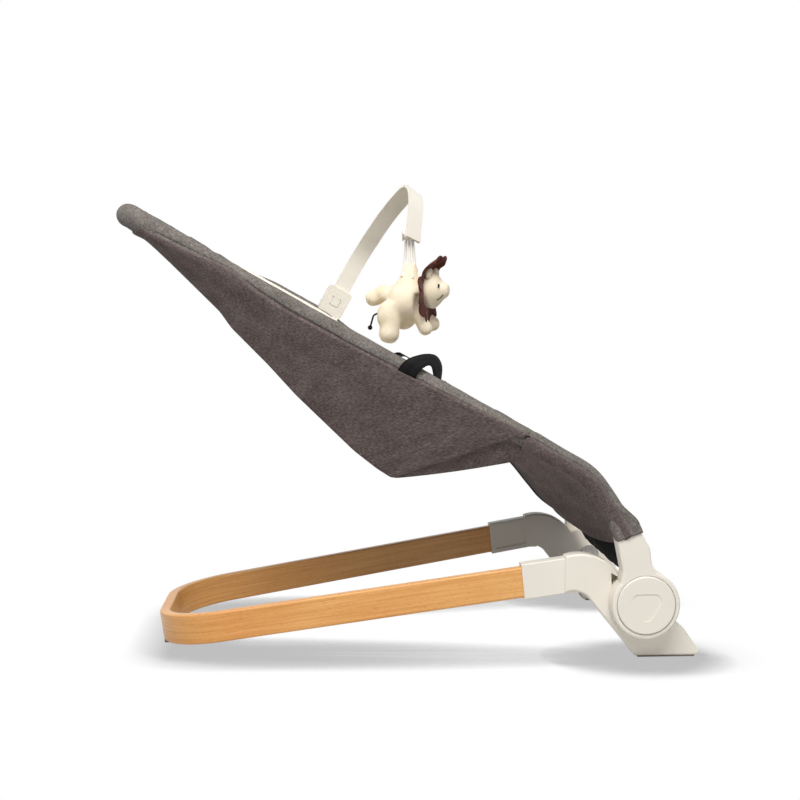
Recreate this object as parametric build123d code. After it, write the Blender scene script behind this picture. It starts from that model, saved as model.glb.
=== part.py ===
from build123d import *
import os
from math import atan, cos, radians, sin, tan

os.makedirs("parts", exist_ok=True)

# Frame: X to the foot end, Y to the sitter's left, Z up, floor at Z 0.
# The source places everything from the hub axis, then save() moves it so that the box is centred on X 0.
HUB_X = 308.5
HUB_Z = 75.0
HUB = (0.0, HUB_Z)

# Wood hoop: a strip bent to a tapered U in a sloping plane
WOOD_T = 15.0
WOOD_H = 41.0
WOOD_EDGE = 3.0
HOOP_REF_X = -187.0
HOOP_REF_Z = 74.5
HOOP_REAR_X = -643.0
HOOP_REAR_Z = 2.4
HOOP_TAPER = 0.098
HOOP_CORNER = 95.0
HOOP_FRONT_X = -96.0
HOOP_RISE = (HOOP_REF_Z - HOOP_REAR_Z) / (HOOP_REF_X - HOOP_REAR_X)
HOOP_SLOPE = atan(HOOP_RISE)

# Legs: the hoop's width follows from the gap between them
LEG_OUT = 198.0
HOOP_INSET = 14.0
HOOP_HALF = LEG_OUT - HOOP_INSET
LEG_THICK = 24.0
LEG_IN = LEG_OUT - LEG_THICK
SLEEVE_WALL = 2.0
SLEEVE_INNER_WALL = 5.0
SLEEVE_TOP_WALL = 4.0
SLEEVE_BACK_X = -160.0
SLEEVE_LEAN = 5.0
SLEEVE_FRONT_X = -78.0
FOOT_PAD_T = 2.5
LEG_HUB_R = 44.0

# Hub stack, from the leg's face outwards
PLAY = 0.5
FIT = 0.05
RING_R = 45.0
RING_IN = LEG_OUT + PLAY
RING_OUT = RING_IN + 25.0
WEB_T = 7.5
POCKET_R = 39.2
AXLE_R = 8.0
DRUM_R = 18.0
AXLE_HEAD_R = 14.0
AXLE_HEAD_T = 5.0
NUT_R = 22.0
NUT_T = 2.3
NUT_PLAY = 0.2
KEY = 9.0
KEY_CLEAR = 0.2
GEAR_R = 33.0
TOOTH_TIP_R = 36.0
TOOTH_CLEAR = 0.5
TOOTH_W = 3.0
TOOTH_COUNT = 30
GEAR_T = 4.5
BUTTON_R = 38.6
BUTTON_T = 6.5
BUTTON_TRAVEL = 4.0
BUTTON_PROUD = 2.0

# Seat tube and the fabric sleeve on it
TUBE_R = 10.0
TUBE_WALL = 1.5
TUBE_Y = (RING_IN + RING_OUT) / 2
CLOTH_GAP = 0.3
SLEEVE_R = 12.5
RIM_ANGLE = 29.3
NECK_LOW = (-6.0, 120.0)
NECK_BEND = (-26.0, 176.0)
KNEE = (-71.0, 245.0)
HEAD_X = -680.0
HEAD_NARROW = 61.0
HEAD_HALF = TUBE_Y - HEAD_NARROW
NECK_BEND_R = 60.0
KNEE_R = 100.0
HEAD_CORNER_R = 50.0
HEM_RUN = 46.0
HEAD_ROLL_R = 15.5

# Sling
PANEL_T = 5.0
WING_T = 4.0
BUCKET_NARROW = 63.0
BUCKET_HALF = TUBE_Y - BUCKET_NARROW
BACK_TOP = (-634.0, 538.0)
BUCKET_LOW = (-326.0, 238.0)
SEAT_FRONT = (-166.0, 263.0)
LINING_T = 3.0

# Toy bar
BAR_W = 25.0
BAR_T = 4.5
CLIP_W = 39.0
CLIP_D = 17.0
CLIP_LOW = 15.0
CLIP_TOP = 58.0
CLIP_FOOT_X = -419.0
CLIP_BUTTON = 13.0
CLIP_BUTTON_TRAVEL = 2.0
SADDLE_R = 17.0
SADDLE_LEN = 32.0
TONGUE_LOW = 26.0
BAR_SHOULDER = (-320.0, 130.0, 606.0)
BAR_APEX = (-289.0, 74.0, 640.0)
BAR_OVER = (-284.0, 26.0, 622.0)
BAR_END = (-292.0, -6.0, 560.0)

# Webbing
WEB_W = 20.0
WEB_THICK = 2.0


def save(name, shape):
    """Writes one node, moved so that the whole object is centred on X 0."""
    export_step(Pos(HUB_X, 0, 0) * shape, "parts/" + name + ".step")


def save_pair(name, right):
    """Writes a right-hand piece and its mirror image."""
    save(name + "_right", right)
    save(name + "_left", mirror(right, Plane.XZ))


def save_group(name, rights):
    """Writes like pieces and their mirror images as one node of separate solids."""
    solids = []
    for right in rights:
        solids.append(right)
        solids.append(mirror(right, Plane.XZ))
    save(name, Compound(children=solids))


def side(face, near, far):
    """Solid of a side-view face between two distances from the middle plane, on the right."""
    return extrude(Plane.XZ.offset(near) * face, far - near)


def across(face, half):
    """Solid of a side-view face, the same on both sides of the middle plane."""
    return extrude(Plane.XZ.offset(-half) * face, 2 * half)


def polygon(points):
    """Face through corner points."""
    return make_face(Polyline(*points, close=True))


def disc(radius, near, far, centre=HUB):
    """Round plate on an axis along Y, on the right."""
    return side(Pos(centre[0], centre[1]) * Circle(radius), near, far)


def largest(shape):
    """Largest solid of a shape that a cut left in pieces."""
    return shape.solids().sort_by(SortBy.VOLUME)[-1]


def flip(point):
    """Mirror image of a point in the middle plane."""
    return Vector(point.X, -point.Y, point.Z)


def hoop_z(x):
    """Height of the hoop's lower edge."""
    return HOOP_REF_Z + (x - HOOP_REF_X) * HOOP_RISE


def rim_z(x):
    """Height of the tube's centre line on the straight run of the rim."""
    return KNEE[1] + (KNEE[0] - x) * tan(radians(RIM_ANGLE))


def rim_y(x):
    """Distance of the tube's centre line from the middle plane on the straight run of the rim."""
    return TUBE_Y - (TUBE_Y - HEAD_HALF) * (KNEE[0] - x) / (KNEE[0] - HEAD_X)


def rim_point(x):
    """Point of the right tube's centre line on the straight run of the rim."""
    return Vector(x, -rim_y(x), rim_z(x))


def along_path(path, face):
    """Solid of a face swept square to a path."""
    return sweep(Plane(origin=path @ 0, z_dir=path % 0) * face, path=path.wire())


# Wood hoop
hoop_plane = Plane(
    origin=(HOOP_REF_X, 0, HOOP_REF_Z),
    x_dir=(cos(HOOP_SLOPE), 0, sin(HOOP_SLOPE)),
    z_dir=(-sin(HOOP_SLOPE), 0, cos(HOOP_SLOPE)),
)
hoop_front = (HOOP_FRONT_X - HOOP_REF_X) / cos(HOOP_SLOPE)
hoop_rear = (HOOP_REAR_X - HOOP_REF_X) / cos(HOOP_SLOPE) + WOOD_T / 2


def hoop_half(run, inset):
    """Half width of the hoop at a run along its plane, measured inset from the outer face."""
    return HOOP_HALF + HOOP_TAPER * run - inset


mid_inset = WOOD_T / 2
hoop_line = FilletPolyline(
    (hoop_front, -hoop_half(hoop_front, mid_inset)),
    (hoop_rear, -hoop_half(hoop_rear, mid_inset)),
    (hoop_rear, hoop_half(hoop_rear, mid_inset)),
    (hoop_front, hoop_half(hoop_front, mid_inset)),
    radius=HOOP_CORNER - mid_inset,
)
hoop_path = Wire(hoop_plane * Pos(0, 0, WOOD_H / 2) * hoop_line.wire())
hoop_section = Plane(origin=hoop_path @ 0, z_dir=hoop_path % 0, x_dir=hoop_plane.z_dir)
wood_hoop = sweep(hoop_section * RectangleRounded(WOOD_H, WOOD_T, WOOD_EDGE), path=hoop_path)

# Grip pads under the closed end, cut to the wood
REAR_PAD_LEN = 46.0
REAR_PAD_W = 11.0
REAR_PAD_Y = 52.0
REAR_PAD_INSET = 2.0
rear_pad_x = HOOP_REAR_X + REAR_PAD_INSET + REAR_PAD_W / 2
rear_pad_top = HOOP_REAR_Z + WOOD_EDGE
rear_pad = Pos(rear_pad_x, -REAR_PAD_Y, rear_pad_top / 2) * Box(REAR_PAD_W, REAR_PAD_LEN, rear_pad_top)
rear_pad = (rear_pad - wood_hoop).solids().sort_by(Axis.Z)[0]
save_group("rear_pads", [rear_pad])

# Leg sleeve: a toed-in box over the wood end, with a shallow recess in its inner face
SLEEVE_EDGE = 1.5
SLEEVE_OVERRUN = 12.0
CUT_MARGIN = 1.0
sleeve_back = (SLEEVE_BACK_X - HOOP_REF_X) / cos(HOOP_SLOPE) - SLEEVE_LEAN
sleeve_front = hoop_front + SLEEVE_OVERRUN
wood_tall = WOOD_H / cos(HOOP_SLOPE)


def strip_plan(run_from, run_to, outer_inset, inner_inset):
    """Plan of a strip that follows the right arm of the hoop, between two insets from its outer face."""
    return polygon(
        [
            (run_from, -hoop_half(run_from, outer_inset)),
            (run_to, -hoop_half(run_to, outer_inset)),
            (run_to, -hoop_half(run_to, inner_inset)),
            (run_from, -hoop_half(run_from, inner_inset)),
        ]
    )


def sleeve_top(x):
    """Height of the sleeve's upper edge."""
    return hoop_z(x) + wood_tall + SLEEVE_TOP_WALL


def sleeve_low(x):
    """Height of the sleeve's lower edge."""
    return hoop_z(x) - SLEEVE_WALL


inner_face = WOOD_T + SLEEVE_INNER_WALL
sleeve_plan = strip_plan(sleeve_back, sleeve_front, -SLEEVE_WALL, inner_face)
sleeve_block = extrude(hoop_plane * Pos(0, 0, -WOOD_H) * sleeve_plan, 3 * WOOD_H)
sleeve_low_x = SLEEVE_BACK_X + SLEEVE_LEAN
sleeve_view = polygon(
    [
        (SLEEVE_BACK_X, sleeve_top(SLEEVE_BACK_X)),
        (HOOP_FRONT_X, sleeve_top(HOOP_FRONT_X)),
        (SLEEVE_FRONT_X, sleeve_top(HOOP_FRONT_X)),
        (SLEEVE_FRONT_X, sleeve_low(HOOP_FRONT_X)),
        (HOOP_FRONT_X, sleeve_low(HOOP_FRONT_X)),
        (sleeve_low_x, sleeve_low(sleeve_low_x)),
    ]
)
sleeve = sleeve_block & side(sleeve_view, LEG_IN - 2 * LEG_THICK, LEG_OUT + LEG_THICK)
sleeve_long_edges = [edge for edge in sleeve.edges() if abs((edge % 0.5).X) > 0.9]
sleeve = fillet(sleeve_long_edges, SLEEVE_EDGE)
RECESS_RUNS = (39.0, 88.0)
RECESS_DEPTH = 3.0
RECESS_RIM = 4.0
recess_floor = inner_face - RECESS_DEPTH
recess = extrude(
    hoop_plane * Pos(0, 0, RECESS_RIM) * strip_plan(*RECESS_RUNS, recess_floor, inner_face + WOOD_T),
    WOOD_H - 2 * RECESS_RIM,
)

# Leg blade: a flat goose-neck from the sleeve to the hub disc, and the foot
NECK_BACK = (-103.0, 136.0)
NECK_CROWN = (-66.0, 137.0)
NECK_FRONT = (-29.0, 110.0)
SHOULDER = (0.0, 110.0)
SHIN = ((36.0, 75.0), (44.0, 50.0), (56.5, 38.5))
TOE = (78.5, 7.0)
TOE_LOW_X = 75.5
HEEL_X = -9.0
HOLLOW_LOW = (-68.0, 76.0)
HOLLOW_MID = (-78.5, 86.0)
HOLLOW_TOP = (-94.0, 89.5)
NECK_UNDER = (-103.0, 88.0)
BLADE_EDGE = 3.0
neck_top = ThreePointArc(NECK_BACK, NECK_CROWN, NECK_FRONT)
sole = ((TOE_LOW_X, FOOT_PAD_T), (HEEL_X, FOOT_PAD_T))
front_edge = Polyline(NECK_FRONT, SHOULDER, *SHIN, TOE, *sole, HOLLOW_LOW)
under_arc = ThreePointArc(HOLLOW_LOW, HOLLOW_MID, HOLLOW_TOP)
back_edge = Polyline(HOLLOW_TOP, NECK_UNDER, NECK_BACK)
blade_face = make_face(neck_top + front_edge + under_arc + back_edge)
blade = side(blade_face + Pos(*HUB) * Circle(LEG_HUB_R), LEG_IN, LEG_OUT)
blade_sides = blade.edges().group_by(Axis.Y)
blade = fillet(blade_sides[0] + blade_sides[-1], BLADE_EDGE)

WINDOW = ((-42.0, 114.0), (-30.5, 107.0), (-41.0, 97.0))
WINDOW_DEPTH = 16.0
leg = blade + sleeve - wood_hoop - recess
leg = leg - side(polygon(WINDOW), LEG_OUT - WINDOW_DEPTH, LEG_OUT + CUT_MARGIN)
leg = leg - disc(AXLE_R + FIT, LEG_IN - CUT_MARGIN, LEG_OUT + CUT_MARGIN)

# Screws that hold the wood in the sleeve, driven up from below and sunk in its lower wall
SCREW_R = 2.5
SCREW_LEN = 12.0
SCREW_HEAD_R = 4.5
SCREW_HEAD_T = 0.85 * SLEEVE_WALL
SCREW_RUNS = (45.0, 75.0)
screws = []
for run in SCREW_RUNS:
    seat = hoop_plane * Pos(run, -hoop_half(run, mid_inset), 0)
    shank = seat * Pos(0, 0, SCREW_LEN / 2) * Cylinder(SCREW_R, SCREW_LEN)
    head = seat * Pos(0, 0, -SCREW_HEAD_T / 2) * Cylinder(SCREW_HEAD_R, SCREW_HEAD_T)
    screws.append(shank + head)
for screw in screws:
    leg = leg - screw
    wood_hoop = wood_hoop - screw - mirror(screw, Plane.XZ)
save_pair("leg", leg)
save("wood_hoop", wood_hoop)
save_group("sleeve_screws", screws)

PAD_INSET = BLADE_EDGE + 0.5
PAD_BEVEL = 1.0
pad_back_x = HEEL_X + PAD_INSET
pad_front_x = TOE_LOW_X - BLADE_EDGE
pad_view = polygon(
    [
        (pad_back_x + PAD_BEVEL, 0),
        (pad_front_x - PAD_BEVEL, 0),
        (pad_front_x, FOOT_PAD_T),
        (pad_back_x, FOOT_PAD_T),
    ]
)
foot_pad = side(pad_view, LEG_IN + PAD_INSET, LEG_OUT - PAD_INSET)
save_group("foot_pads", [foot_pad])

# Hub arm: ring with a pocket for the button, and a neck that holds the tube end
NECK_OUTLINE = (
    (-34.0, 104.0), (-31.5, 120.0), (-40.0, 163.0), (-9.0, 173.0),
    (4.0, 151.0), (7.0, 129.0), (15.0, 116.0), (20.0, 104.0),
)
ARM_EDGE = 3.0
web_out = RING_IN + WEB_T
arm = disc(RING_R, RING_IN, RING_OUT) + side(polygon(NECK_OUTLINE), RING_IN, RING_OUT)
arm = fillet(arm.edges().group_by(Axis.Y)[0], ARM_EDGE)
arm = arm - disc(POCKET_R, web_out, RING_OUT + CUT_MARGIN)
arm = arm - disc(DRUM_R + FIT, RING_IN - CUT_MARGIN, web_out + CUT_MARGIN)

# Teeth in the pocket, short enough that the pressed gear comes free below them
GEAR_SETBACK = 1.5
TOOTH_SHORT = 0.5
TOOTH_ROOT = 0.5
nut_out = web_out + NUT_PLAY + NUT_T
button_in = RING_OUT + BUTTON_PROUD - BUTTON_T
gear_out = button_in - GEAR_SETBACK
gear_in = gear_out - GEAR_T
tooth_in = gear_out - BUTTON_TRAVEL + TOOTH_CLEAR
tooth_out = gear_out - TOOTH_SHORT
pocket_tooth_r = POCKET_R + TOOTH_ROOT
pocket_tooth_len = pocket_tooth_r - TOOTH_TIP_R - TOOTH_CLEAR


def toothed(start_angle, centre_r, length):
    """Ring of teeth as faces round the hub axis."""
    step = 360.0 / TOOTH_COUNT
    return [
        Rot(0, 0, start_angle + step * index) * Pos(centre_r, 0) * Rectangle(length, TOOTH_W)
        for index in range(TOOTH_COUNT)
    ]


for tooth in toothed(0.0, pocket_tooth_r - pocket_tooth_len / 2, pocket_tooth_len):
    arm = arm + side(Pos(*HUB) * tooth, tooth_in, tooth_out)

# Tube path: straight runs joined by arcs, from neck to neck round the head
right_points = [
    Vector(NECK_LOW[0], -TUBE_Y, NECK_LOW[1]),
    Vector(NECK_BEND[0], -TUBE_Y, NECK_BEND[1]),
    Vector(KNEE[0], -TUBE_Y, KNEE[1]),
    rim_point(HEAD_X),
]


left_points = [flip(p) for p in reversed(right_points)]
tube_radii = [NECK_BEND_R, KNEE_R, HEAD_CORNER_R, HEAD_CORNER_R, KNEE_R, NECK_BEND_R]
tube_path = FilletPolyline(*right_points, *left_points, radius=tube_radii)
save("seat_tube", along_path(tube_path, Circle(TUBE_R) - Circle(TUBE_R - TUBE_WALL)))

BORE_LEN = 120.0
neck_run = (right_points[1] - right_points[0]).normalized()
bore = extrude(Plane(origin=right_points[0], z_dir=neck_run) * Circle(TUBE_R), BORE_LEN)
arm = arm - bore

# Rivet through each neck, in two ends that meet the tube
RIVET_R = 2.5
RIVET_RUN = 20.0
RIVET_SUNK = 0.4
rivet_at = right_points[0] + neck_run * RIVET_RUN
rivet = disc(RIVET_R, RING_IN + RIVET_SUNK, RING_OUT - RIVET_SUNK, (rivet_at.X, rivet_at.Z))
arm = arm - rivet
save_pair("hub_arm", arm)
save_group("neck_rivets", (rivet - bore).solids())

# Hub inner pieces: bearing drum, axle with a square key, retaining nut and lock gear
drum_bore = disc(AXLE_R + FIT, RING_IN - CUT_MARGIN, nut_out + CUT_MARGIN)
save_pair("hub_drum", disc(DRUM_R, RING_IN, web_out) - drum_bore)
axle = disc(AXLE_R, LEG_IN, nut_out) + disc(AXLE_HEAD_R, LEG_IN - AXLE_HEAD_T, LEG_IN)
axle = axle + side(Pos(*HUB) * Rectangle(KEY, KEY), nut_out, tooth_out)
save_pair("hub_axle", axle)
save_pair("hub_nut", disc(NUT_R, web_out + NUT_PLAY, nut_out) - drum_bore)

GEAR_TOOTH_ROOT = 1.0
gear_tooth_len = 2 * (TOOTH_TIP_R - GEAR_R + GEAR_TOOTH_ROOT)
gear_face = Circle(GEAR_R)
for tooth in toothed(180.0 / TOOTH_COUNT, GEAR_R - GEAR_TOOTH_ROOT, gear_tooth_len):
    gear_face = gear_face + tooth
gear_face = gear_face & Circle(TOOTH_TIP_R)
gear_face = gear_face - Rectangle(KEY + KEY_CLEAR, KEY + KEY_CLEAR)
save_pair("lock_gear", side(Pos(*HUB) * gear_face, gear_in, gear_out))

# Leaf spring: a bowed strip above and below the axle, between web and gear
SPRING_W = 8.0
SPRING_T = 0.6
SPRING_FROM = 24.0
SPRING_HALF = 12.0
bow_low = -(web_out + CLOTH_GAP)
bow_high = -(gear_in - CLOTH_GAP)
bow_face = make_face(
    [
        ThreePointArc((-SPRING_HALF, bow_low), (0, bow_high + SPRING_T), (SPRING_HALF, bow_low)),
        Line((SPRING_HALF, bow_low), (SPRING_HALF, bow_low - SPRING_T)),
        ThreePointArc((SPRING_HALF, bow_low - SPRING_T), (0, bow_high), (-SPRING_HALF, bow_low - SPRING_T)),
        Line((-SPRING_HALF, bow_low - SPRING_T), (-SPRING_HALF, bow_low)),
    ]
)
springs = []
for place in (-SPRING_FROM - SPRING_W, SPRING_FROM):
    springs.append(extrude(Plane.XY.offset(HUB_Z + place) * bow_face, SPRING_W))
save_pair("leaf_spring", Compound(children=springs))

# Push button: shallow dome with a soft three-sided relief, seated on the gear by a ring and hollowed
# below so that it clears the pocket's teeth and the axle's key when it is pressed
BUTTON_EDGE = 2.5
RELIEF_R = 30.0
RELIEF_CORNER = 9.0
RELIEF_DEPTH = 0.8
SEAT_RING_R = 26.0
SEAT_RING_IN = 20.0
PRESS_CLEAR = 0.4
KEY_WELL_R = 8.0
button_out = button_in + BUTTON_T
hollow_top = tooth_out + BUTTON_TRAVEL + PRESS_CLEAR
cap = disc(BUTTON_R, button_in, button_out)
cap = fillet(cap.edges().group_by(Axis.Y)[0], BUTTON_EDGE)
corners = [(RELIEF_R * cos(radians(a)), RELIEF_R * sin(radians(a))) for a in (-90, 30, 150)]
relief = make_face(FilletPolyline(*corners, radius=RELIEF_CORNER, close=True))
cap = cap - side(Pos(*HUB) * relief, button_out - RELIEF_DEPTH, button_out + CUT_MARGIN)
cap = cap + disc(SEAT_RING_R, gear_out, button_in) - disc(SEAT_RING_IN, gear_out - CUT_MARGIN, button_in)
rim_hollow = disc(POCKET_R, button_in, hollow_top) - disc(TOOTH_TIP_R - CUT_MARGIN, button_in, hollow_top)
cap = cap - rim_hollow - disc(KEY_WELL_R, button_in, hollow_top)
save_pair("hub_button", cap)

# Rim sleeve on the tube: two long sides and the head
HEAD_JOIN_X = -560.0
hem = right_points[0] + neck_run * HEM_RUN
head_corner = rim_point(HEAD_X)
head_join = rim_point(HEAD_JOIN_X)
side_path = FilletPolyline(hem, right_points[1], right_points[2], head_join, radius=[NECK_BEND_R, KNEE_R])
head_path = FilletPolyline(head_join, head_corner, flip(head_corner), flip(head_join), radius=HEAD_CORNER_R)
sleeve_ring = Circle(SLEEVE_R) - Circle(TUBE_R + CLOTH_GAP)
save_pair("rim_sleeve", along_path(side_path, sleeve_ring) - arm)
save("rim_sleeve_head", along_path(head_path, sleeve_ring))

# Padded roll round the head bar and its corners, a little longer than the bends
ROLL_LEAD = 1.0
rim_dir = (right_points[2] - head_corner).normalized()
head_turn = radians(180.0 - rim_dir.get_angle(Vector(0, 1, 0)))
roll_run = HEAD_CORNER_R * tan(head_turn / 2) + ROLL_LEAD
roll_from = head_corner + rim_dir * roll_run
roll_path = FilletPolyline(roll_from, head_corner, flip(head_corner), flip(roll_from), radius=HEAD_CORNER_R)
save("head_roll", along_path(roll_path, Circle(HEAD_ROLL_R) - Circle(SLEEVE_R + CLOTH_GAP)))

# Solid cores that panels are cut to, so that their edges seat on the sleeve
side_core = along_path(side_path, Circle(SLEEVE_R))
head_core = along_path(head_path, Circle(SLEEVE_R))
roll_core = along_path(roll_path, Circle(HEAD_ROLL_R))

# Side wing: flat cloth from the rim to the low corner of the bucket, in one sloping plane
WING_FRONT_X = -152.0
WING_BACK_X = -640.0
REACH = 900.0
wing_origin = Vector(BUCKET_LOW[0], -BUCKET_HALF, BUCKET_LOW[1])
wing_front = rim_point(WING_FRONT_X) - wing_origin
wing_back = rim_point(WING_BACK_X) - wing_origin
wing_normal = wing_front.cross(wing_back).normalized()
wing_plane = Plane(origin=wing_origin, z_dir=wing_normal)
wing_sheet = extrude(wing_plane * Rectangle(2 * REACH, 2 * REACH), WING_T)
outside = extrude(wing_plane * Rectangle(2 * REACH, 2 * REACH), BUCKET_HALF)


def wing_piece(points):
    """Piece of the wing's sheet with a side-view outline, cut to the rim sleeve."""
    piece = side(polygon(points), BUCKET_HALF / 2, 2 * BUCKET_HALF) & wing_sheet
    return largest(piece - side_core - head_core - roll_core)


rim_front = (WING_FRONT_X, rim_z(WING_FRONT_X))
rim_back = (WING_BACK_X, rim_z(WING_BACK_X))
wing = wing_piece([rim_front, rim_back, BACK_TOP, BUCKET_LOW])
seat_side = wing_piece([rim_front, BUCKET_LOW, SEAT_FRONT])
save_pair("wing", wing)
save_pair("seat_side", seat_side)

# Back and seat panels between the wings
PANEL_HALF = 230.0
BACK_LAP = (-3.0, -11.0)
FOLD_SHIFT = 2.0
back_lift = PANEL_T * cos(radians(45))
back_end = (HEAD_X + BACK_LAP[0], rim_z(HEAD_X) + BACK_LAP[1])
bucket_fold = (BUCKET_LOW[0] + FOLD_SHIFT, BUCKET_LOW[1] + PANEL_T)
back_inner = [(x + back_lift, z + back_lift) for x, z in (back_end, BACK_TOP)]
back_panel = across(polygon([BUCKET_LOW, BACK_TOP, back_end] + back_inner + [bucket_fold]), PANEL_HALF)
back_panel = largest(back_panel - outside - mirror(outside, Plane.XZ) - head_core - roll_core)
seat_face = polygon([BUCKET_LOW, SEAT_FRONT, (SEAT_FRONT[0], SEAT_FRONT[1] + PANEL_T), bucket_fold])
seat_panel = across(seat_face, PANEL_HALF) - outside - mirror(outside, Plane.XZ)
save("back_panel", back_panel)
save("seat_panel", seat_panel)

# Calf panel: a sheet that runs down from the knee and narrows between the gussets
CALF_MID = (-110.0, 198.0)
CALF_END = (-49.0, 149.0)
CALF_START_DROP = 1.0
CALF_START_RUN = 6.0
CALF_NARROW = (
    (-175.0, 24.0), (-160.0, 24.0), (-134.0, 71.0), (-109.0, 106.0), (-89.0, 123.0), (-40.0, 131.0),
)
PLAN_LOW = 100.0
calf_lift = PANEL_T * cos(radians(45))
calf_top = (SEAT_FRONT[0], SEAT_FRONT[1] - CALF_START_DROP)
calf_top_in = (SEAT_FRONT[0] + CALF_START_RUN, SEAT_FRONT[1])
calf_mid_in = (CALF_MID[0] + calf_lift, CALF_MID[1] + calf_lift)
calf_end_in = (CALF_END[0] + calf_lift, CALF_END[1] + calf_lift)
calf_view = make_face(
    [
        ThreePointArc(calf_top, CALF_MID, CALF_END),
        Line(CALF_END, calf_end_in),
        ThreePointArc(calf_end_in, calf_mid_in, calf_top_in),
        Line(calf_top_in, calf_top),
    ]
)
plan_right = [(x, narrow - TUBE_Y) for x, narrow in CALF_NARROW]
plan_left = [(x, -y) for x, y in reversed(plan_right)]
calf_plan = extrude(Pos(0, 0, PLAN_LOW) * polygon(plan_right + plan_left), SEAT_FRONT[1])
calf_panel = across(calf_view, PANEL_HALF) & calf_plan
save("calf_panel", calf_panel)


def cloth_between(lines, lift):
    """Sheet ruled through lines from one edge to the other, thickened by a lift vector."""
    sections = []
    for start, end in lines:
        sections.append(make_face(Polyline(start, end, end + lift, start + lift, close=True)))
    return loft(sections, ruled=True)


# Front gusset: cloth that slopes in from the tube to the calf panel's edge
GUSSET_T = 3.0
GUSSET_LAP = 1.0
gusset_lift = Vector(0.70, 0.47, 0.53) * GUSSET_T
tube_edge = (
    rim_point(WING_FRONT_X + GUSSET_LAP),
    rim_point(-100.0),
    Vector(-64.0, -TUBE_Y, 234.0),
    Vector(-42.0, -TUBE_Y, 203.0),
    Vector(-25.0, -TUBE_Y, 172.0),
)
calf_edge = (
    Vector(-163.0, 25.0 - TUBE_Y, 262.0),
    Vector(-134.0, 72.0 - TUBE_Y, 227.0),
    Vector(-109.0, 107.0 - TUBE_Y, 198.0),
    Vector(-89.0, 124.0 - TUBE_Y, 178.5),
    Vector(CALF_END[0], 132.0 - TUBE_Y, CALF_END[1] + GUSSET_LAP),
)
gusset = cloth_between(zip(tube_edge, calf_edge), gusset_lift)
gusset = largest(gusset - calf_panel - side_core - seat_side - wing)
save_pair("front_gusset", gusset)

# Black lining that hangs below the calf panel and the gussets
LINING_HALF = 158.0
LINING_END = (-10.0, 108.0)
lining_lift = Vector(0.74, 0, 0.68) * LINING_T
lap = (TUBE_Y - LINING_HALF) / (TUBE_Y + calf_edge[-1].Y)
lining_corner = tube_edge[-1] + (calf_edge[-1] - tube_edge[-1]) * lap
lining_lines = []
for top in (lining_corner, calf_edge[-1], flip(calf_edge[-1]), flip(lining_corner)):
    lining_lines.append((top, Vector(LINING_END[0], top.Y, LINING_END[1])))
lining = cloth_between(lining_lines, lining_lift)
save("front_lining", largest(lining - calf_panel - gusset - mirror(gusset, Plane.XZ)))

# Padded inlay: crowned pads with drawn-in ends on the back and the seat
BACK_PAD_FROM = 52.0
BACK_PAD_LEN = 330.0
BACK_PAD_WIDTHS = (190.0, 240.0, 236.0, 150.0)
BACK_PAD_CROWNS = (10.0, 26.0, 24.0, 9.0)
BACK_PAD_REST = 0.2
SEAT_PAD_FROM = 24.0
SEAT_PAD_LEN = 120.0
SEAT_PAD_WIDTHS = (190.0, 240.0, 200.0)
SEAT_PAD_CROWNS = (9.0, 22.0, 9.0)
SEAT_PAD_REST = 0.2


def crowned_pad(start, end, run, rest, length, widths, crowns):
    """Pad on the panel between two side-view points: a flat base and an arched top, lofted along it."""
    along = Vector(end[0] - start[0], 0, end[1] - start[1]).normalized()
    normal = Vector(0, 1, 0).cross(along)
    if normal.Z < 0:
        normal = normal * -1
    origin = Vector(start[0], 0, start[1]) + along * run + normal * (PANEL_T + rest)
    sections = []
    for index, (width, crown) in enumerate(zip(widths, crowns)):
        half = width / 2
        base = Line((-half, 0), (half, 0))
        arch = ThreePointArc((half, 0), (0, crown), (-half, 0))
        centre = origin + along * (length * index / (len(widths) - 1))
        section_plane = Plane(origin=centre, x_dir=(0, 1, 0), z_dir=Vector(0, 1, 0).cross(normal))
        sections.append(section_plane * make_face(base + arch))
    return loft(sections)


back_pad = crowned_pad(
    BUCKET_LOW, BACK_TOP, BACK_PAD_FROM, BACK_PAD_REST, BACK_PAD_LEN, BACK_PAD_WIDTHS, BACK_PAD_CROWNS
)
seat_pad = crowned_pad(
    BUCKET_LOW, SEAT_FRONT, SEAT_PAD_FROM, SEAT_PAD_REST, SEAT_PAD_LEN, SEAT_PAD_WIDTHS, SEAT_PAD_CROWNS
)
save("back_pad", back_pad)
save("seat_pad", seat_pad)

# Harness buckle above the seat pad, with a round release button in its face
BUCKLE = Vector(-262.0, 0, 318.0)
BUCKLE_SIZE = (34.0, 44.0, 15.0)
BUCKLE_CORNER = 6.0
BUCKLE_BUTTON_R = 8.0
BUCKLE_BUTTON_T = 5.0
BUCKLE_TRAVEL = 2.5
BUCKLE_TILT = 20.0
BUCKLE_SPARE = 0.5
BUCKLE_PROUD = 1.0
buckle_place = Pos(BUCKLE.X, BUCKLE.Y, BUCKLE.Z) * Rot(0, BUCKLE_TILT, 0)
buckle_top = BUCKLE_SIZE[2] / 2
well_deep = BUCKLE_BUTTON_T + BUCKLE_TRAVEL + BUCKLE_SPARE
buckle_box = Box(*BUCKLE_SIZE)
buckle_box = fillet(buckle_box.edges().filter_by(Axis.Z), BUCKLE_CORNER)
buckle_well = Pos(0, 0, buckle_top - well_deep / 2) * Cylinder(BUCKLE_BUTTON_R + CLOTH_GAP, well_deep)
buckle = buckle_place * (buckle_box - buckle_well)
save("buckle", buckle)
button_mid = buckle_top + BUCKLE_PROUD - BUCKLE_BUTTON_T / 2
save("buckle_button", buckle_place * Pos(0, 0, button_mid) * Cylinder(BUCKLE_BUTTON_R, BUCKLE_BUTTON_T))

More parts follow.
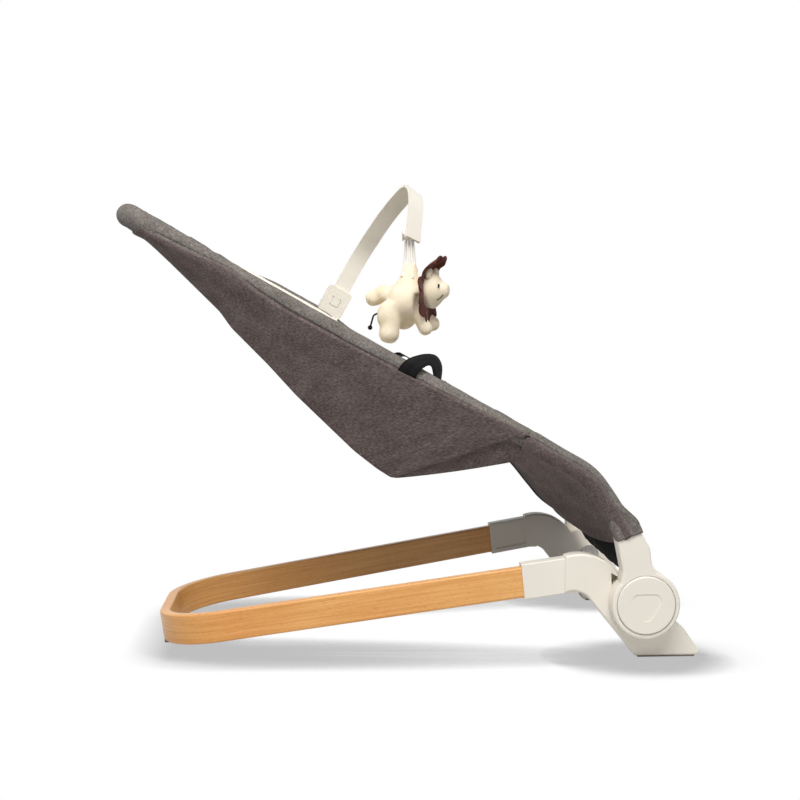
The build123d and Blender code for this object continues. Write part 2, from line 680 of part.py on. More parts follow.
# Crotch strap from the seat pad up to the buckle
CROTCH_W = 25.0
CROTCH_LOW = Vector(-226.0, 0, 262.0)
CROTCH_IN_BUCKLE = Vector(10.0, 0, -2.0)
crotch_run = BUCKLE + CROTCH_IN_BUCKLE - CROTCH_LOW
crotch_plane = Plane(origin=CROTCH_LOW, z_dir=crotch_run, x_dir=(0, 1, 0))
crotch = extrude(crotch_plane * Rectangle(CROTCH_W, WEB_THICK), crotch_run.length) - buckle - seat_pad
save("crotch_strap", crotch.solids().sort_by(Axis.Z)[-1])

# Waist strap: webbing over the rim, then a straight run inside to the buckle. The right one stands up
# in a loose arch and the left one lies on the rim
STRAP_X = -296.0
ARCH_LOOSE = (
    (-12.0, -17.0), (-36.0, -13.0), (-34.0, 8.0), (-12.0, 31.0), (12.0, 30.0), (34.0, 8.0), (35.0, -26.0),
)
ARCH_FLAT = (
    (-12.0, -17.0), (-34.0, -13.0), (-31.0, 2.0), (-11.0, 17.0), (11.0, 17.0), (31.0, 4.0), (35.0, -26.0),
)
LOOSE_RADII = (7.0, 12.0, 16.0, 16.0, 12.0)
FLAT_RADII = (7.0, 10.0, 10.0, 10.0, 10.0)
ARCH_FOOT = Vector(35.0, -24.0, 0)
BUCKLE_IN = 18.0
rim_up = Vector(sin(radians(RIM_ANGLE)), 0, cos(radians(RIM_ANGLE)))
arch_along = (rim_dir * 0.8 + Vector(0, 1, 0) * 0.6).normalized()
arch_plane = Plane(origin=rim_point(STRAP_X), x_dir=arch_along, z_dir=arch_along.cross(rim_up))
inner_foot = arch_plane.from_local_coords(ARCH_FOOT)
waist_run = BUCKLE - Vector(0, BUCKLE_IN, 0) - inner_foot
waist_plane = Plane(origin=inner_foot, z_dir=waist_run, x_dir=waist_run.cross(Vector(0, 0, 1)))
waist = extrude(waist_plane * Rectangle(WEB_W, WEB_THICK), waist_run.length)


def waist_strap(arch_points, radii):
    """Right-hand strap whose arch over the rim follows the given points."""
    arch_line = FilletPolyline(*arch_points, radius=list(radii))
    arch = extrude(arch_plane * trace(arch_line, WEB_THICK), WEB_W / 2, both=True)
    return largest(largest(arch - side_core - wing) + waist - buckle)


save("harness_strap_right", waist_strap(ARCH_LOOSE, LOOSE_RADII))
save("harness_strap_left", mirror(waist_strap(ARCH_FLAT, FLAT_RADII), Plane.XZ))

# Toy bar clip on the left rim: a saddle round the sleeve and a block with a socket
CLIP_CORNER = 5.0
SADDLE_DROP = 4.0
SOCKET_CLEAR = 0.3
SOCKET_OVER = 5.0
CLIP_BUTTON_T = 4.0
CLIP_BUTTON_PROUD = 0.8
CLIP_BUTTON_Z = 37.0
CLIP_BUTTON_CORNER = 2.0
clip_foot = flip(rim_point(CLIP_FOOT_X))
left_dir = flip(rim_dir)
clip_plane = Plane(origin=clip_foot, x_dir=left_dir, z_dir=rim_up)
clip_height = CLIP_TOP - CLIP_LOW
clip_block = Pos(0, 0, CLIP_LOW + clip_height / 2) * Box(CLIP_W, CLIP_D, clip_height)
clip_block = fillet(clip_block.edges().filter_by(Axis.Y), CLIP_CORNER)
saddle = Rot(0, 90, 0) * Cylinder(SADDLE_R, SADDLE_LEN)
saddle = saddle - Pos(0, 0, -SADDLE_R - SADDLE_DROP) * Box(2 * SADDLE_LEN, 2 * SADDLE_R, 2 * SADDLE_R)
clip_local = clip_block + saddle - Rot(0, 90, 0) * Cylinder(SLEEVE_R + CLOTH_GAP, 3 * SADDLE_LEN)
socket_low = TONGUE_LOW - SOCKET_CLEAR
socket_len = CLIP_TOP + SOCKET_OVER - socket_low
socket = Pos(0, 0, socket_low + socket_len / 2) * Box(
    BAR_W + 2 * SOCKET_CLEAR, BAR_T + 2 * SOCKET_CLEAR, socket_len
)
face_sign = 1.0 if clip_plane.y_dir.Y < 0 else -1.0
clip_face = face_sign * CLIP_D / 2
well_depth = CLIP_BUTTON_T - CLIP_BUTTON_PROUD + CLIP_BUTTON_TRAVEL
well_side = CLIP_BUTTON + 2 * SOCKET_CLEAR
well = Pos(0, clip_face - face_sign * well_depth / 2, CLIP_BUTTON_Z) * Box(well_side, well_depth, well_side)
save("toy_bar_clip", clip_plane * (clip_local - socket - well))
press = Box(CLIP_BUTTON, CLIP_BUTTON_T, CLIP_BUTTON)
press = fillet(press.edges().filter_by(Axis.Y), CLIP_BUTTON_CORNER)
press_y = clip_face + face_sign * (CLIP_BUTTON_PROUD - CLIP_BUTTON_T / 2)
save("clip_button", clip_plane * Pos(0, press_y, CLIP_BUTTON_Z) * press)

# Toy bar: straight tongue in the clip, then a flat band that rises and bows over to the middle
TONGUE_TOP = CLIP_TOP + 2.0
BAR_RISE = 60.0
BEND_SHARE = 0.45
bar_start = clip_foot + rim_up * TONGUE_TOP
bar_end = Vector(*BAR_END)
bar_points = [
    bar_start,
    bar_start + rim_up * BAR_RISE,
    Vector(*BAR_SHOULDER),
    Vector(*BAR_APEX),
    Vector(*BAR_OVER),
    bar_end,
]
bar_radii = []
for before, corner, after in zip(bar_points, bar_points[1:], bar_points[2:]):
    run_in = corner - before
    run_out = after - corner
    turn = radians(run_in.get_angle(run_out))
    bar_radii.append(BEND_SHARE * min(run_in.length, run_out.length) / tan(turn / 2))
bar_path = FilletPolyline(*bar_points, radius=bar_radii)
bar_section = Plane(origin=bar_start, z_dir=rim_up, x_dir=left_dir) * Rectangle(BAR_W, BAR_T)
band = sweep(bar_section, path=bar_path.wire())
tongue_len = TONGUE_TOP - TONGUE_LOW
tongue = clip_plane * Pos(0, 0, TONGUE_LOW + tongue_len / 2) * Box(BAR_W, BAR_T, tongue_len)
toy_bar = tongue + band

# Two lugs and a pin behind the band's end, which the toy's strap turns on
PIN_R = 2.0
PIN_UP = 6.0
PIN_BEHIND = 7.5
FORK_X = 8.0
FORK_T = 2.5
LUG_HALF = 3.5
LUG_LOW = 2.0
LUG_HIGH = 12.0
LOOP_R = 4.5
LOOP_W = 10.0
bar_down = bar_path % 1
end_face = band.faces().sort_by_distance(bar_end)[0]
end_across = end_face.edges().sort_by(SortBy.LENGTH)[-1] % 0
end_across = end_across * (1.0 / end_across.X)
behind = end_across.cross(bar_down).normalized()
if behind.Y < 0:
    behind = behind * -1
pin = bar_end - bar_down * PIN_UP + behind * (BAR_T / 2 + PIN_BEHIND)
PIN_Y = pin.Y
PIN_Z = pin.Z
pin_centre = (pin.X, pin.Y, pin.Z)
for sign in (-1, 1):
    lug_x = pin.X + sign * FORK_X
    root = bar_end + end_across * (lug_x - bar_end.X)
    low = root - bar_down * LUG_LOW
    high = root - bar_down * LUG_HIGH
    lug_back = PIN_Y + LUG_HALF
    lug_face = polygon(
        [(low.Y, low.Z), (lug_back, PIN_Z - LUG_HALF), (lug_back, PIN_Z + LUG_HALF), (high.Y, high.Z)]
    )
    lug_plane = Plane(origin=(lug_x - FORK_T / 2, 0, 0), x_dir=(0, 1, 0), z_dir=(1, 0, 0))
    toy_bar = toy_bar + extrude(lug_plane * lug_face, FORK_T)
toy_bar = toy_bar + Pos(*pin_centre) * Rot(0, 90, 0) * Cylinder(PIN_R, 2 * FORK_X)
save("toy_bar", toy_bar)

# Toy: a plush body, head and muzzle turned about lines along X, each with flat seamed ends
TOY_Y = PIN_Y
BODY_Z = 472.0
BODY_R = 29.0
BODY_LEN = 54.0
HEAD_R = 26.0
HEAD_LEN = 31.0
HEAD_Z = 488.0
HEAD_TURN = -22.0
MUZZLE_R = 12.0
MUZZLE_LEN = 13.0
MUZZLE_SINK = 4.0
MANE_X = -281.0
MANE_T = 3.0
BACK_SEAM = 6.0
NECK_SEAM = 15.0
NOSE_SEAM = 5.0
CHEEK = 0.15


def turned(back_x, axis_z, length, radius, seams):
    """Stuffed solid: two rounded ends and the thickest ring between, with a flat seam at each end."""
    back_seam, front_seam = seams
    mid_x = back_x + length / 2
    front_x = back_x + length
    back_cheek = (back_x + length * CHEEK, (back_seam + 2 * radius) / 3)
    front_cheek = (front_x - length * CHEEK, (front_seam + 2 * radius) / 3)
    profile = [
        Line((back_x, 0), (back_x, back_seam)),
        ThreePointArc((back_x, back_seam), back_cheek, (mid_x, radius)),
        ThreePointArc((mid_x, radius), front_cheek, (front_x, front_seam)),
        Line((front_x, front_seam), (front_x, 0)),
        Line((front_x, 0), (back_x, 0)),
    ]
    return Pos(0, TOY_Y, axis_z) * revolve(make_face(profile), axis=Axis.X)


def look(shape):
    """Shape turned with the head, about an upright line through the neck."""
    return Pos(MANE_X, TOY_Y, 0) * Rot(0, 0, HEAD_TURN) * Pos(-MANE_X, -TOY_Y, 0) * shape


head_back_x = MANE_X + MANE_T
head_front_x = head_back_x + HEAD_LEN
head = turned(head_back_x, HEAD_Z, HEAD_LEN, HEAD_R, (NECK_SEAM, BACK_SEAM))
muzzle = turned(head_front_x - MUZZLE_SINK, HEAD_Z, MUZZLE_LEN, MUZZLE_R, (MUZZLE_R / 2, NOSE_SEAM))

# Felt mane: a scalloped sheet between body and head
MANE_R = 36.0
MANE_Z = 485.0
LOBE_R = 12.0
LOBES = 12
mane_face = Circle(MANE_R)
for index in range(LOBES):
    mane_face = mane_face + Rot(0, 0, 360.0 * index / LOBES) * Pos(MANE_R, 0) * Circle(LOBE_R)
mane = extrude(Plane(origin=(MANE_X, TOY_Y, MANE_Z), x_dir=(0, 1, 0), z_dir=(1, 0, 0)) * mane_face, MANE_T)
mane = look(mane)
HALF_SPACE = 80.0
mane_front = Pos(MANE_X + HALF_SPACE, TOY_Y, MANE_Z) * Box(2 * HALF_SPACE, 4 * HALF_SPACE, 4 * HALF_SPACE)
body_back_x = MANE_X - BODY_LEN + BACK_SEAM
toy_body = turned(body_back_x, BODY_Z, BODY_LEN, BODY_R, (BACK_SEAM, NECK_SEAM)) - look(mane_front)
toy_head = look(head)
save("toy_body", toy_body)
save("toy_head", toy_head)
save("toy_muzzle", look(largest(muzzle - head)))

# Ears: two rounded felt lobes on the head
EAR_R = 8.0
EAR_T = 4.0
EAR_SPREAD = 15.0
EAR_SINK = 3.0
ear_x = head_back_x + (HEAD_LEN - EAR_T) / 2
ears = []
for sign in (-1, 1):
    ear_centre = (ear_x, TOY_Y + sign * EAR_SPREAD, HEAD_Z + HEAD_R - EAR_SINK)
    ear_plane = Plane(origin=ear_centre, x_dir=(0, 1, 0), z_dir=(1, 0, 0))
    ears.append(look(largest(extrude(ear_plane * Circle(EAR_R), EAR_T) - head)))
save("toy_ears", Compound(children=ears))


# Legs: stuffed tubes that swell to a paw, each leaning its own way and cut to the body
LEG_SPREAD = 13.0
REAR_ROOT_X = -319.0
FRONT_ROOT_X = -295.0
LEG_ROOT_Z = 470.0
REAR_PAW_R = 15.0
RAISED_PAW_R = 12.0
FRONT_PAW_R = 10.5
LEG_LEAN = {"rear_right": -9.0, "rear_left": -80.0, "front_right": 30.0, "front_left": 38.0}
LEG_SIZE = {
    "rear_right": (58.0, REAR_PAW_R),
    "rear_left": (40.0, RAISED_PAW_R),
    "front_right": (52.0, FRONT_PAW_R),
    "front_left": (52.0, FRONT_PAW_R),
}
RAISED_LEG = 12.0


def stuffed_leg(lean, length, paw_r):
    """Leg that leans by an angle from straight down towards the head and swells to a paw."""
    root_r = paw_r * 0.8
    sole_r = paw_r * 0.4
    widest = length - paw_r
    outline = [
        Line((0, 0), (root_r, 0)),
        ThreePointArc((root_r, 0), (root_r * 1.06, -widest * 0.5), (paw_r, -widest)),
        ThreePointArc((paw_r, -widest), (paw_r * 0.84, -length + paw_r * 0.36), (sole_r, -length)),
        Line((sole_r, -length), (0, -length)),
        Line((0, -length), (0, 0)),
    ]
    return Rot(0, -lean, 0) * revolve(Plane.XZ * make_face(outline), axis=Axis.Z)


toy_legs = {}
for name, lean in LEG_LEAN.items():
    root_x = REAR_ROOT_X if name.startswith("rear") else FRONT_ROOT_X
    root_y = TOY_Y + (LEG_SPREAD if name.endswith("left") else -LEG_SPREAD)
    root_z = LEG_ROOT_Z + (RAISED_LEG if name == "rear_left" else 0.0)
    leg_shape = Pos(root_x, root_y, root_z) * stuffed_leg(lean, *LEG_SIZE[name])
    toy_legs[name] = largest(leg_shape - toy_body - toy_head)
    save("toy_leg_" + name, toy_legs[name])
    mane = mane - toy_legs[name]
save("toy_mane", largest(mane))

# Tail: a thin cord with a knot, out of the right rear leg
TAIL_R = 1.6
KNOT_R = 4.0
TAIL_BEND_R = 6.0
TAIL_LINE = ((-331.0, 459.0), (-348.0, 453.0), (-353.0, 435.0))
tail_points = [Vector(x, TOY_Y - LEG_SPREAD, z) for x, z in TAIL_LINE]
tail_path = FilletPolyline(*tail_points, radius=TAIL_BEND_R)
tail = along_path(tail_path, Circle(TAIL_R)) + Pos(*tail_points[-1]) * Sphere(KNOT_R)
save("toy_tail", largest(tail - toy_legs["rear_right"] - toy_body))

# Hanger strap: a loop round the pin and two strands down to the body
STRAND_T = 1.6
STRAND_W = 4.4
STRAND_SINK = 7.0
loop = Pos(*pin_centre) * Rot(0, 90, 0) * Cylinder(LOOP_R, LOOP_W)
strand_len = PIN_Z - BODY_Z - BODY_R + STRAND_SINK
for sign in (-1, 1):
    strand_x = pin.X + sign * (LOOP_W - STRAND_W) / 2
    loop = loop + Pos(strand_x, PIN_Y, PIN_Z - strand_len / 2) * Box(STRAND_W, STRAND_T, strand_len)
loop = loop - Pos(*pin_centre) * Rot(0, 90, 0) * Cylinder(PIN_R + FIT, 2 * LOOP_W)
save("toy_strap", largest(loop - toy_body))
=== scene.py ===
import bpy
from math import acos, asin, atan2, ceil, cos, exp, hypot, pi, radians, sin, sqrt, tan
from mathutils import Matrix, Vector, noise


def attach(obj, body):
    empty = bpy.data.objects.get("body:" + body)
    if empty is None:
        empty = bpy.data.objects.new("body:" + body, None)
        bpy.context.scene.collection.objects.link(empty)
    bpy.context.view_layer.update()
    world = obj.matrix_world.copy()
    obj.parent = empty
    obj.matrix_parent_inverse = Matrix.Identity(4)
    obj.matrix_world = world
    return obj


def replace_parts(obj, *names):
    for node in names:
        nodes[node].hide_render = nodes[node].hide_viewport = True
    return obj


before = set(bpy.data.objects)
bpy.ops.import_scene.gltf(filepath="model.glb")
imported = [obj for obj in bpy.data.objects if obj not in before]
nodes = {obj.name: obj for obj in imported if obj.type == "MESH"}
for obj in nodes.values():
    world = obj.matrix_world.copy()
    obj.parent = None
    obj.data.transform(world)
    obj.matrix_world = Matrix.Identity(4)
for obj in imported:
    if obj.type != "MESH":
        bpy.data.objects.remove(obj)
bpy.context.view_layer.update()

# Places and sizes are in millimetres from the hub axis, as on the drawing, and at() moves them into the frame
HUB_X = 0.3085
TUBE_Y = 211.0
COVER_R = 12.5
RIM_ANGLE = 29.3
NECK_LOW = (-6.0, 120.0)
NECK_BEND = (-26.0, 176.0)
KNEE = (-71.0, 245.0)
HEAD_X = -680.0
HEAD_HALF = 150.0
HEM_RUN = 48.0
NECK_BEND_R = 60.0
KNEE_R = 100.0
HEAD_CORNER_R = 50.0
ROLL_FROM_X = -636.0
ROLL_R = 15.5
WING_FRONT_X = -152.0
WING_BACK_X = -640.0
BUCKET_HALF = 148.0
BACK_TOP_HALF = 149.7
SEAT_FRONT_HALF = 192.7
BACK_TOP = (-634.0, 538.0)
BACK_END = (-672.0, 580.0)
BACK_END_HALF = 120.0
BACK_SHARE = 0.88
EDGE_DROP = 3.0
BUCKET_LOW = (-326.0, 238.0)
SEAT_FRONT = (-166.0, 263.0)
CALF_END = (-49.0, 150.0)
LINING_END = (-8.0, 102.0)
LINING_HALF = 158.0
CLOTH_T = 2.5
TOY_Y = 3.9
MANE_X = -281.0
HEAD_TURN = -22.0
SIDES = (("right", -1), ("left", 1))


def at(x, y, z):
    """Point in the frame, in metres, from millimetres measured from the hub axis."""
    return Vector((HUB_X + x / 1000, y / 1000, z / 1000))


def mm(value):
    """Length in metres."""
    return value / 1000


def between(stops, x):
    """Value at x on straight lines through (x, value) stops in rising order."""
    for (x0, low), (x1, high) in zip(stops, stops[1:]):
        if x <= x1:
            return low + (high - low) * max(0.0, (x - x0) / (x1 - x0))
    return stops[-1][1]


def ease(t):
    """Smooth step from 0 to 1."""
    t = min(1.0, max(0.0, t))
    return t * t * (3 - 2 * t)


# Colours, nodes and materials
def linear(code):
    """sRGB hex value as linear colour."""
    values = [int(code[i:i + 2], 16) / 255 for i in (1, 3, 5)]
    return tuple(v / 12.92 if v <= 0.04045 else ((v + 0.055) / 1.055) ** 2.4 for v in values) + (1.0,)


def add_node(tree, kind, inputs=None, **settings):
    """Adds a node, sets its properties and fills its inputs with values or links."""
    made = tree.nodes.new(kind)
    for name, value in settings.items():
        setattr(made, name, value)
    for name, value in (inputs or {}).items():
        if isinstance(value, bpy.types.NodeSocket):
            tree.links.new(value, made.inputs[name])
        else:
            made.inputs[name].default_value = value
    return made


def start_material(name, roughness, **sockets):
    """New material with its surface shader set: returns material, tree and shader."""
    material = bpy.data.materials.new(name)
    material.use_nodes = True
    tree = material.node_tree
    shader = tree.nodes["Principled BSDF"]
    shader.inputs["Roughness"].default_value = roughness
    for socket, value in sockets.items():
        shader.inputs[socket.replace("_", " ")].default_value = value
    return material, tree, shader


def spread(tree, factor, stops):
    """Colour ramp from (position, hex) stops."""
    ramp = add_node(tree, "ShaderNodeValToRGB", {"Fac": factor})
    elements = ramp.color_ramp.elements
    while len(elements) < len(stops):
        elements.new(0.5)
    for element, (place, code) in zip(elements, stops):
        element.position = place
        element.color = linear(code)
    return ramp.outputs["Color"]


def bump(tree, shader, height, strength, distance):
    """Surface relief of a real depth in metres."""
    relief = add_node(tree, "ShaderNodeBump", {"Height": height, "Strength": strength, "Distance": distance})
    tree.links.new(relief.outputs["Normal"], shader.inputs["Normal"])


def speckle(tree, place, scale, detail=2.0):
    """Noise over places stretched by a scale along each axis."""
    mapped = add_node(tree, "ShaderNodeMapping", {"Vector": place, "Scale": scale})
    grains = add_node(tree, "ShaderNodeTexNoise", {"Vector": mapped.outputs["Vector"], "Scale": 1.0, "Detail": detail})
    return grains.outputs["Fac"]


def mean(tree, *values):
    """Average of several values."""
    total = values[0]
    for value in values[1:]:
        total = add_node(tree, "ShaderNodeMath", {0: total, 1: value}, operation="ADD").outputs[0]
    return add_node(tree, "ShaderNodeMath", {0: total, 1: 1 / len(values)}, operation="MULTIPLY").outputs[0]


def woven_melange(name, stops):
    """Woven polyester of mixed yarns: short light and dark dashes along both threads and a soft sheen.
    Threads of about 0.7 mm are drawn twice as coarse so that they show."""
    THREAD_MM, DASH_MM, SHADE_MM = 1.4, 5.0, 26.0
    material, tree, shader = start_material(name, 0.95, Sheen_Weight=0.12, Sheen_Roughness=0.6, Specular_IOR_Level=0.1)
    place = add_node(tree, "ShaderNodeUVMap").outputs["UV"]
    weft = speckle(tree, place, (1000 / DASH_MM, 1000 / THREAD_MM, 1.0))
    warp = speckle(tree, place, (1000 / THREAD_MM, 1000 / DASH_MM, 1.0))
    shade = speckle(tree, place, (1000 / SHADE_MM, 1000 / SHADE_MM, 1.0))
    yarns = mean(tree, weft, warp)
    tone = mean(tree, weft, warp, weft, warp, shade)
    tree.links.new(spread(tree, tone, stops), shader.inputs["Base Color"])
    bump(tree, shader, yarns, 0.4, 0.0006)
    return material


def webbing_black(name):
    """Woven nylon belt: fine ribs along its length and a dull sheen."""
    RIB_MM = 2.0
    material, tree, shader = start_material(name, 0.7, Specular_IOR_Level=0.15)
    place = add_node(tree, "ShaderNodeUVMap").outputs["UV"]
    ribs = add_node(
        tree, "ShaderNodeTexWave", {"Vector": place, "Scale": 1000 / RIB_MM / 20, "Distortion": 0.4},
        bands_direction="Y",
    ).outputs["Fac"]
    tree.links.new(spread(tree, ribs, ((0.0, "#060606"), (1.0, "#0f0f0e"))), shader.inputs["Base Color"])
    bump(tree, shader, ribs, 0.5, 0.0006)
    return material


def knit(name, stops, fuzz_mm, roughness=0.95, sheen=0.3):
    """Soft jersey, felt or short plush: mottled colour, fine nap and a pale edge from the sheen."""
    material, tree, shader = start_material(name, roughness, Sheen_Weight=sheen, Sheen_Roughness=0.5, Specular_IOR_Level=0.1)
    place = add_node(tree, "ShaderNodeTexCoord").outputs["Object"]
    nap = add_node(tree, "ShaderNodeTexNoise", {"Vector": place, "Scale": 1000 / fuzz_mm, "Detail": 4.0})
    mottle = add_node(tree, "ShaderNodeTexNoise", {"Vector": place, "Scale": 70.0, "Detail": 2.0})
    tone = mean(tree, nap.outputs["Fac"], mottle.outputs["Fac"])
    tree.links.new(spread(tree, tone, stops), shader.inputs["Base Color"])
    bump(tree, shader, nap.outputs["Fac"], 0.35, 0.0006)
    return material


def moulded(name, stops, grain_mm=1.2, roughness=0.42):
    """Moulded ABS or polypropylene: even colour, a fine spark-eroded grain and a broad soft highlight."""
    material, tree, shader = start_material(name, roughness, IOR=1.5)
    place = add_node(tree, "ShaderNodeTexCoord").outputs["Object"]
    grain = add_node(tree, "ShaderNodeTexNoise", {"Vector": place, "Scale": 1000 / grain_mm, "Detail": 2.0})
    tone = add_node(tree, "ShaderNodeTexNoise", {"Vector": place, "Scale": 9.0, "Detail": 1.0})
    tree.links.new(spread(tree, tone.outputs["Fac"], stops), shader.inputs["Base Color"])
    bump(tree, shader, grain.outputs["Fac"], 0.12, 0.0004)
    return material


def lacquered_beech(name):
    """Steam-bent beech under clear satin lacquer: straight grain and short flecks along the strip, which
    lies in a plane that rises towards the legs."""
    GRAIN_MM, FLECK_MM, HOOP_RISE = 2.2, 1.1, 0.158
    material, tree, shader = start_material(name, 0.38, Coat_Weight=0.15, Coat_Roughness=0.2, IOR=1.5)
    place = add_node(tree, "ShaderNodeTexCoord").outputs["Object"]
    level = add_node(tree, "ShaderNodeMapping", {"Vector": place, "Rotation": (0.0, atan2(HOOP_RISE, 1.0), 0.0)})
    level = level.outputs["Vector"]
    grain = speckle(tree, level, (9.0, 9.0, 1000 / GRAIN_MM), 5.0)
    fleck = speckle(tree, level, (170.0, 170.0, 1000 / FLECK_MM), 1.0)
    board = speckle(tree, place, (6.0, 6.0, 6.0))
    base = spread(tree, grain, ((0.3, "#d8994f"), (0.55, "#e6ab62"), (0.75, "#efba77")))
    flecks = spread(tree, fleck, ((0.6, "#ffffff"), (0.72, "#c98f55")))
    tones = spread(tree, board, ((0.3, "#f3dcc2"), (0.7, "#ffffff")))
    dotted = add_node(tree, "ShaderNodeMix", {0: 0.35, 6: base, 7: flecks}, data_type="RGBA", blend_type="MULTIPLY")
    toned = add_node(
        tree, "ShaderNodeMix", {0: 0.6, 6: dotted.outputs[2], 7: tones}, data_type="RGBA", blend_type="MULTIPLY"
    )
    tree.links.new(toned.outputs[2], shader.inputs["Base Color"])
    bump(tree, shader, grain, 0.1, 0.0004)
    return material


def zinc_steel(name):
    """Zinc-plated steel: grey metal with faint cloudy passivation."""
    material, tree, shader = start_material(name, 0.35, Metallic=1.0)
    place = add_node(tree, "ShaderNodeTexCoord").outputs["Object"]
    cloud = speckle(tree, place, (300.0, 300.0, 300.0), 3.0)
    tree.links.new(spread(tree, cloud, ((0.3, "#8a8783"), (0.7, "#aaa6a0"))), shader.inputs["Base Color"])
    return material


seat_cloth = woven_melange("woven_melange_charcoal", ((0.34, "#3e3432"), (0.5, "#5d514e"), (0.66, "#817471")))
# Rim cloth: the seat's melange and pattern with a lighter, greyer base; the lightness is painted light for the light
# that falls on the rim's top
rim_cloth_painted_light = woven_melange("woven_melange_rim_painted_light", ((0.34, "#4c4642"), (0.5, "#6f6963"), (0.66, "#938c85")))
inlay_cloth = knit("brushed_jersey_cream", ((0.35, "#ded6c6"), (0.65, "#f1ebde")), 1.4)
lining_cloth = knit("tricot_lining_black", ((0.3, "#060606"), (0.7, "#100f0f")), 1.0, sheen=0.0)
webbing = webbing_black("nylon_webbing_black")
plush = knit("short_plush_cream", ((0.35, "#eedcbd"), (0.65, "#faeed6")), 1.6)
felt = knit("wool_felt_brown", ((0.3, "#461d12"), (0.7, "#6a301f")), 1.0, sheen=0.15)
thread_black = knit("cotton_thread_black", ((0.3, "#0e0d0d"), (0.7, "#222020")), 0.5, sheen=0.0)
tape_white = knit("cotton_tape_white", ((0.3, "#ece7db"), (0.7, "#faf7ef")), 0.7)
cream_plastic = moulded("moulded_abs_cream", ((0.3, "#e6dfd2"), (0.7, "#ece6da")))
dark_plastic = moulded("moulded_nylon_black", ((0.3, "#1a1a1a"), (0.7, "#242424")))
rubber = moulded("rubber_grip_taupe", ((0.3, "#8a8177"), (0.7, "#958c82")), 0.8, 0.8)
beech = lacquered_beech("steam_bent_beech")
steel = zinc_steel("zinc_plated_steel")


# Mesh building
def finish_mesh(name, points, faces, corner_uvs, *materials):
    """Object at the origin from points, faces and one UV, in metres, for each face corner."""
    mesh = bpy.data.meshes.new(name)
    mesh.from_pydata([tuple(p) for p in points], [], faces)
    layer = mesh.uv_layers.new(name="UVMap")
    layer.data.foreach_set("uv", [value for uv in corner_uvs for value in uv])
    for material in materials:
        mesh.materials.append(material)
    mesh.polygons.foreach_set("use_smooth", [True] * len(mesh.polygons))
    mesh.update()
    piece = bpy.data.objects.new(name, mesh)
    bpy.context.collection.objects.link(piece)
    return piece


def pick(*pieces):
    """Selects only these pieces and makes the last one active."""
    bpy.ops.object.select_all(action="DESELECT")
    for piece in pieces:
        piece.select_set(True)
    bpy.context.view_layer.objects.active = pieces[-1]


def apply_modifier(piece, kind, **settings):
    """Adds a modifier to a piece and applies it."""
    pick(piece)
    modifier = piece.modifiers.new(kind.lower(), kind)
    for name, value in settings.items():
        setattr(modifier, name, value)
    bpy.ops.object.modifier_apply(modifier=modifier.name)


def rounded_route(points, radii, step):
    """Points about a step apart along straight runs joined by arcs."""
    route = [points[0]]

    def run_to(goal):
        start = route[-1]
        count = max(1, ceil((goal - start).length / step))
        route.extend(start.lerp(goal, i / count) for i in range(1, count + 1))

    for before, corner, after, radius in zip(points, points[1:], points[2:], radii):
        run_in = (corner - before).normalized()
        run_out = (after - corner).normalized()
        turn = run_in.angle(run_out)
        inward = (run_out - run_in * run_in.dot(run_out)).normalized()
        centre = corner - run_in * radius * tan(turn / 2) + inward * radius
        run_to(centre - inward * radius)
        count = max(3, ceil(radius * turn / step))
        for i in range(1, count + 1):
            angle = turn * i / count
            route.append(centre - inward * radius * cos(angle) + run_in * radius * sin(angle))
    run_to(points[-1])
    return route


def lengths(route):
    """Distance of each point along a route."""
    along = [0.0]
    for a, b in zip(route, route[1:]):
        along.append(along[-1] + (b - a).length)
    return along


def resample(route, count, power=1.0):
    """Points along a route, spaced evenly or, with a power above 1, closer at its start."""
    along = lengths(route)
    found, k = [], 0
    for i in range(count):
        goal = along[-1] * (i / (count - 1)) ** power
        while k < len(route) - 2 and along[k + 1] < goal:
            k += 1
        found.append(route[k].lerp(route[k + 1], (goal - along[k]) / (along[k + 1] - along[k])))
    return found


def smooth_line(points, count):
    """Points on a smooth curve through a few points, the same number on each stretch."""
    last = len(points) - 1
    line = []
    for i in range(count):
        place = last * i / (count - 1)
        k = min(int(place), last - 1)
        t = place - k
        a, b = points[k], points[k + 1]
        before = points[k - 1] if k else a * 2 - b
        after = points[k + 2] if k + 2 <= last else b * 2 - a
        square = before * 2 - a * 5 + b * 4 - after
        cube = a * 3 - before - b * 3 + after
        line.append(a + ((b - before) * t + square * t ** 2 + cube * t ** 3) / 2)
    return line


def frames(route, first_side):
    """Heading, side and up at each point of a route, carried along without twist."""
    found = []
    side = first_side
    last = len(route) - 1
    for i in range(len(route)):
        heading = (route[min(i + 1, last)] - route[max(i - 1, 0)]).normalized()
        side = (side - heading * side.dot(heading)).normalized()
        found.append((heading, side, heading.cross(side)))
    return found


def tube(name, route, radius_of, sides, material, first_side=Vector((0, 1, 0))):
    """Closed round piece along a route. radius_of(place, distance, angle) gives its radius."""
    along = lengths(route)
    points, faces, uvs = [], [], []
    for place, distance, (heading, side, up) in zip(route, along, frames(route, first_side)):
        for k in range(sides):
            angle = 2 * pi * k / sides
            radius = radius_of(place, distance, angle)
            points.append(place + (side * cos(angle) + up * sin(angle)) * radius)
    girth = 2 * pi * radius_of(route[len(route) // 2], along[-1] / 2, 0.0)
    for i in range(len(route) - 1):
        for k in range(sides):
            j = (k + 1) % sides
            faces.append((i * sides + k, i * sides + j, (i + 1) * sides + j, (i + 1) * sides + k))
            low, high = girth * k / sides, girth * (k + 1) / sides
            uvs += [(along[i], low), (along[i], high), (along[i + 1], high), (along[i + 1], low)]
    end = (len(route) - 1) * sides
    faces.append(tuple(range(sides - 1, -1, -1)))
    faces.append(tuple(range(end, end + sides)))
    for ring, distance in ((range(sides - 1, -1, -1), 0.0), (range(sides), along[-1])):
        uvs += [(distance, girth * k / sides) for k in ring]
    return finish_mesh(name, points, faces, uvs, material)


